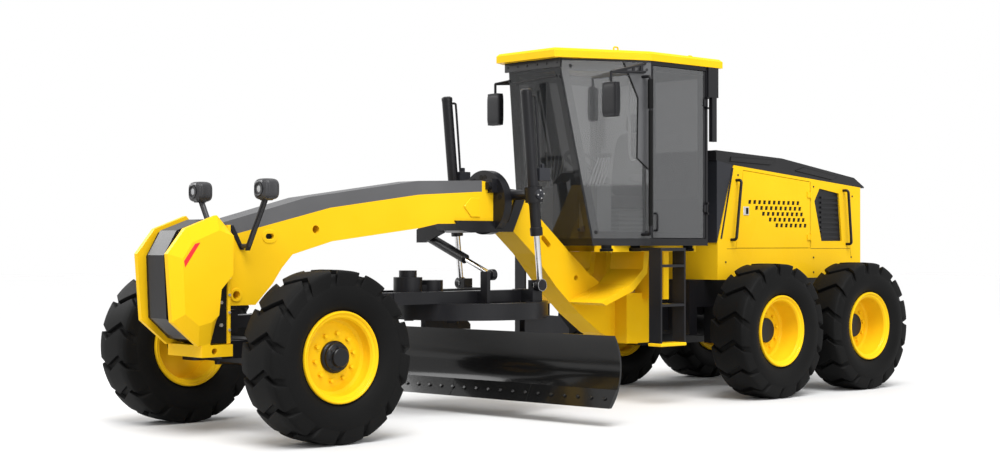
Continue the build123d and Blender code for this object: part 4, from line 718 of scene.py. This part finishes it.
# Studio: a plain pale floor under a soft white dome, which the camera, gloss and glass see as plain white.
# A broad sun from the front left shapes the machine, with panels overhead, on its left and beyond it.
FLOOR_HALF = 60
FLOOR_GREY = 0.62
DOME, WHITE = 0.72, 1.0
SUN_WAY = (-0.3, -0.45, -0.85)
corners = [(x * FLOOR_HALF, y * FLOOR_HALF, 0) for x, y in ((-1, -1), (1, -1), (1, 1), (-1, 1))]
floor_mesh = bpy.data.meshes.new("floor")
floor_mesh.from_pydata(corners, [], [(0, 1, 2, 3)])
floor = bpy.data.objects.new("floor", floor_mesh)
floor_paint = bpy.data.materials.new("floor_paint")
floor_paint.use_nodes = True
floor_shader = floor_paint.node_tree.nodes["Principled BSDF"]
floor_shader.inputs["Base Color"].default_value = (FLOOR_GREY, FLOOR_GREY, FLOOR_GREY, 1)
floor_shader.inputs["Roughness"].default_value = 0.75
floor_shader.inputs["Specular IOR Level"].default_value = 0.1
floor_mesh.materials.append(floor_paint)
bpy.context.scene.collection.objects.link(floor)


def panel(name, place, aim, size, power):
    """A rectangular soft light at a place, turned to face its aim."""
    lamp = bpy.data.lights.new(name, "AREA")
    lamp.shape = "RECTANGLE"
    lamp.size, lamp.size_y = size
    lamp.energy = power
    made = bpy.data.objects.new(name, lamp)
    made.location = place
    made.rotation_euler = (Vector(aim) - Vector(place)).to_track_quat("-Z", "Y").to_euler()
    bpy.context.scene.collection.objects.link(made)


panel("top_light", place=(0.5, 1.0, 9.5), aim=(0.5, 0.0, 0), size=(13, 7), power=250)
panel("left_light", place=(3.0, 13.0, 5.0), aim=(0.5, 0.0, 1.2), size=(9, 5), power=480)
panel("front_light", place=(6.5, -8.8, 6.4), aim=(1.1, 0.0, 0.4), size=(8, 3), power=520)
sun = bpy.data.lights.new("key_light", "SUN")
sun.energy = 3.3
sun.angle = radians(35)
key_light = bpy.data.objects.new("key_light", sun)
key_light.rotation_euler = Vector(SUN_WAY).to_track_quat("-Z", "Y").to_euler()
bpy.context.scene.collection.objects.link(key_light)
world = bpy.data.worlds.new("studio")
bpy.context.scene.world = world
world.use_nodes = True
tree = world.node_tree
sky = tree.nodes["Background"]
sky.inputs["Color"].default_value = (1, 1, 1, 1)
ray = tree.nodes.new("ShaderNodeLightPath")
mirrored = tree.nodes.new("ShaderNodeMath")
mirrored.operation = "ADD"
tree.links.new(ray.outputs["Is Camera Ray"], mirrored.inputs[0])
tree.links.new(ray.outputs["Is Glossy Ray"], mirrored.inputs[1])
through = tree.nodes.new("ShaderNodeMath")
through.operation = "ADD"
tree.links.new(mirrored.outputs["Value"], through.inputs[0])
tree.links.new(ray.outputs["Is Transmission Ray"], through.inputs[1])
seen = tree.nodes.new("ShaderNodeMapRange")
seen.inputs["To Min"].default_value = DOME
seen.inputs["To Max"].default_value = WHITE
tree.links.new(through.outputs["Value"], seen.inputs["Value"])
tree.links.new(seen.outputs["Result"], sky.inputs["Strength"])

# Camera: a slightly long lens at eye height, ahead of the machine and to its left, almost level.
# Its place, heading and lens were worked out from where the wheels, nose, cab and blade are seen.
HEADING, TILT = radians(227.138), radians(0.2945)
optics = bpy.data.cameras.new("camera")
optics.lens = 58.08
optics.sensor_width = 36
optics.sensor_fit = "HORIZONTAL"
optics.clip_end = 500
camera = bpy.data.objects.new("camera", optics)
camera.location = (11.0186, 11.1640, 1.5533)
look = Vector((cos(HEADING) * cos(TILT), sin(HEADING) * cos(TILT), sin(TILT)))
camera.rotation_euler = look.to_track_quat("-Z", "Y").to_euler()
bpy.context.scene.collection.objects.link(camera)
bpy.context.scene.camera = camera
bpy.context.scene.view_settings.view_transform = "Standard"
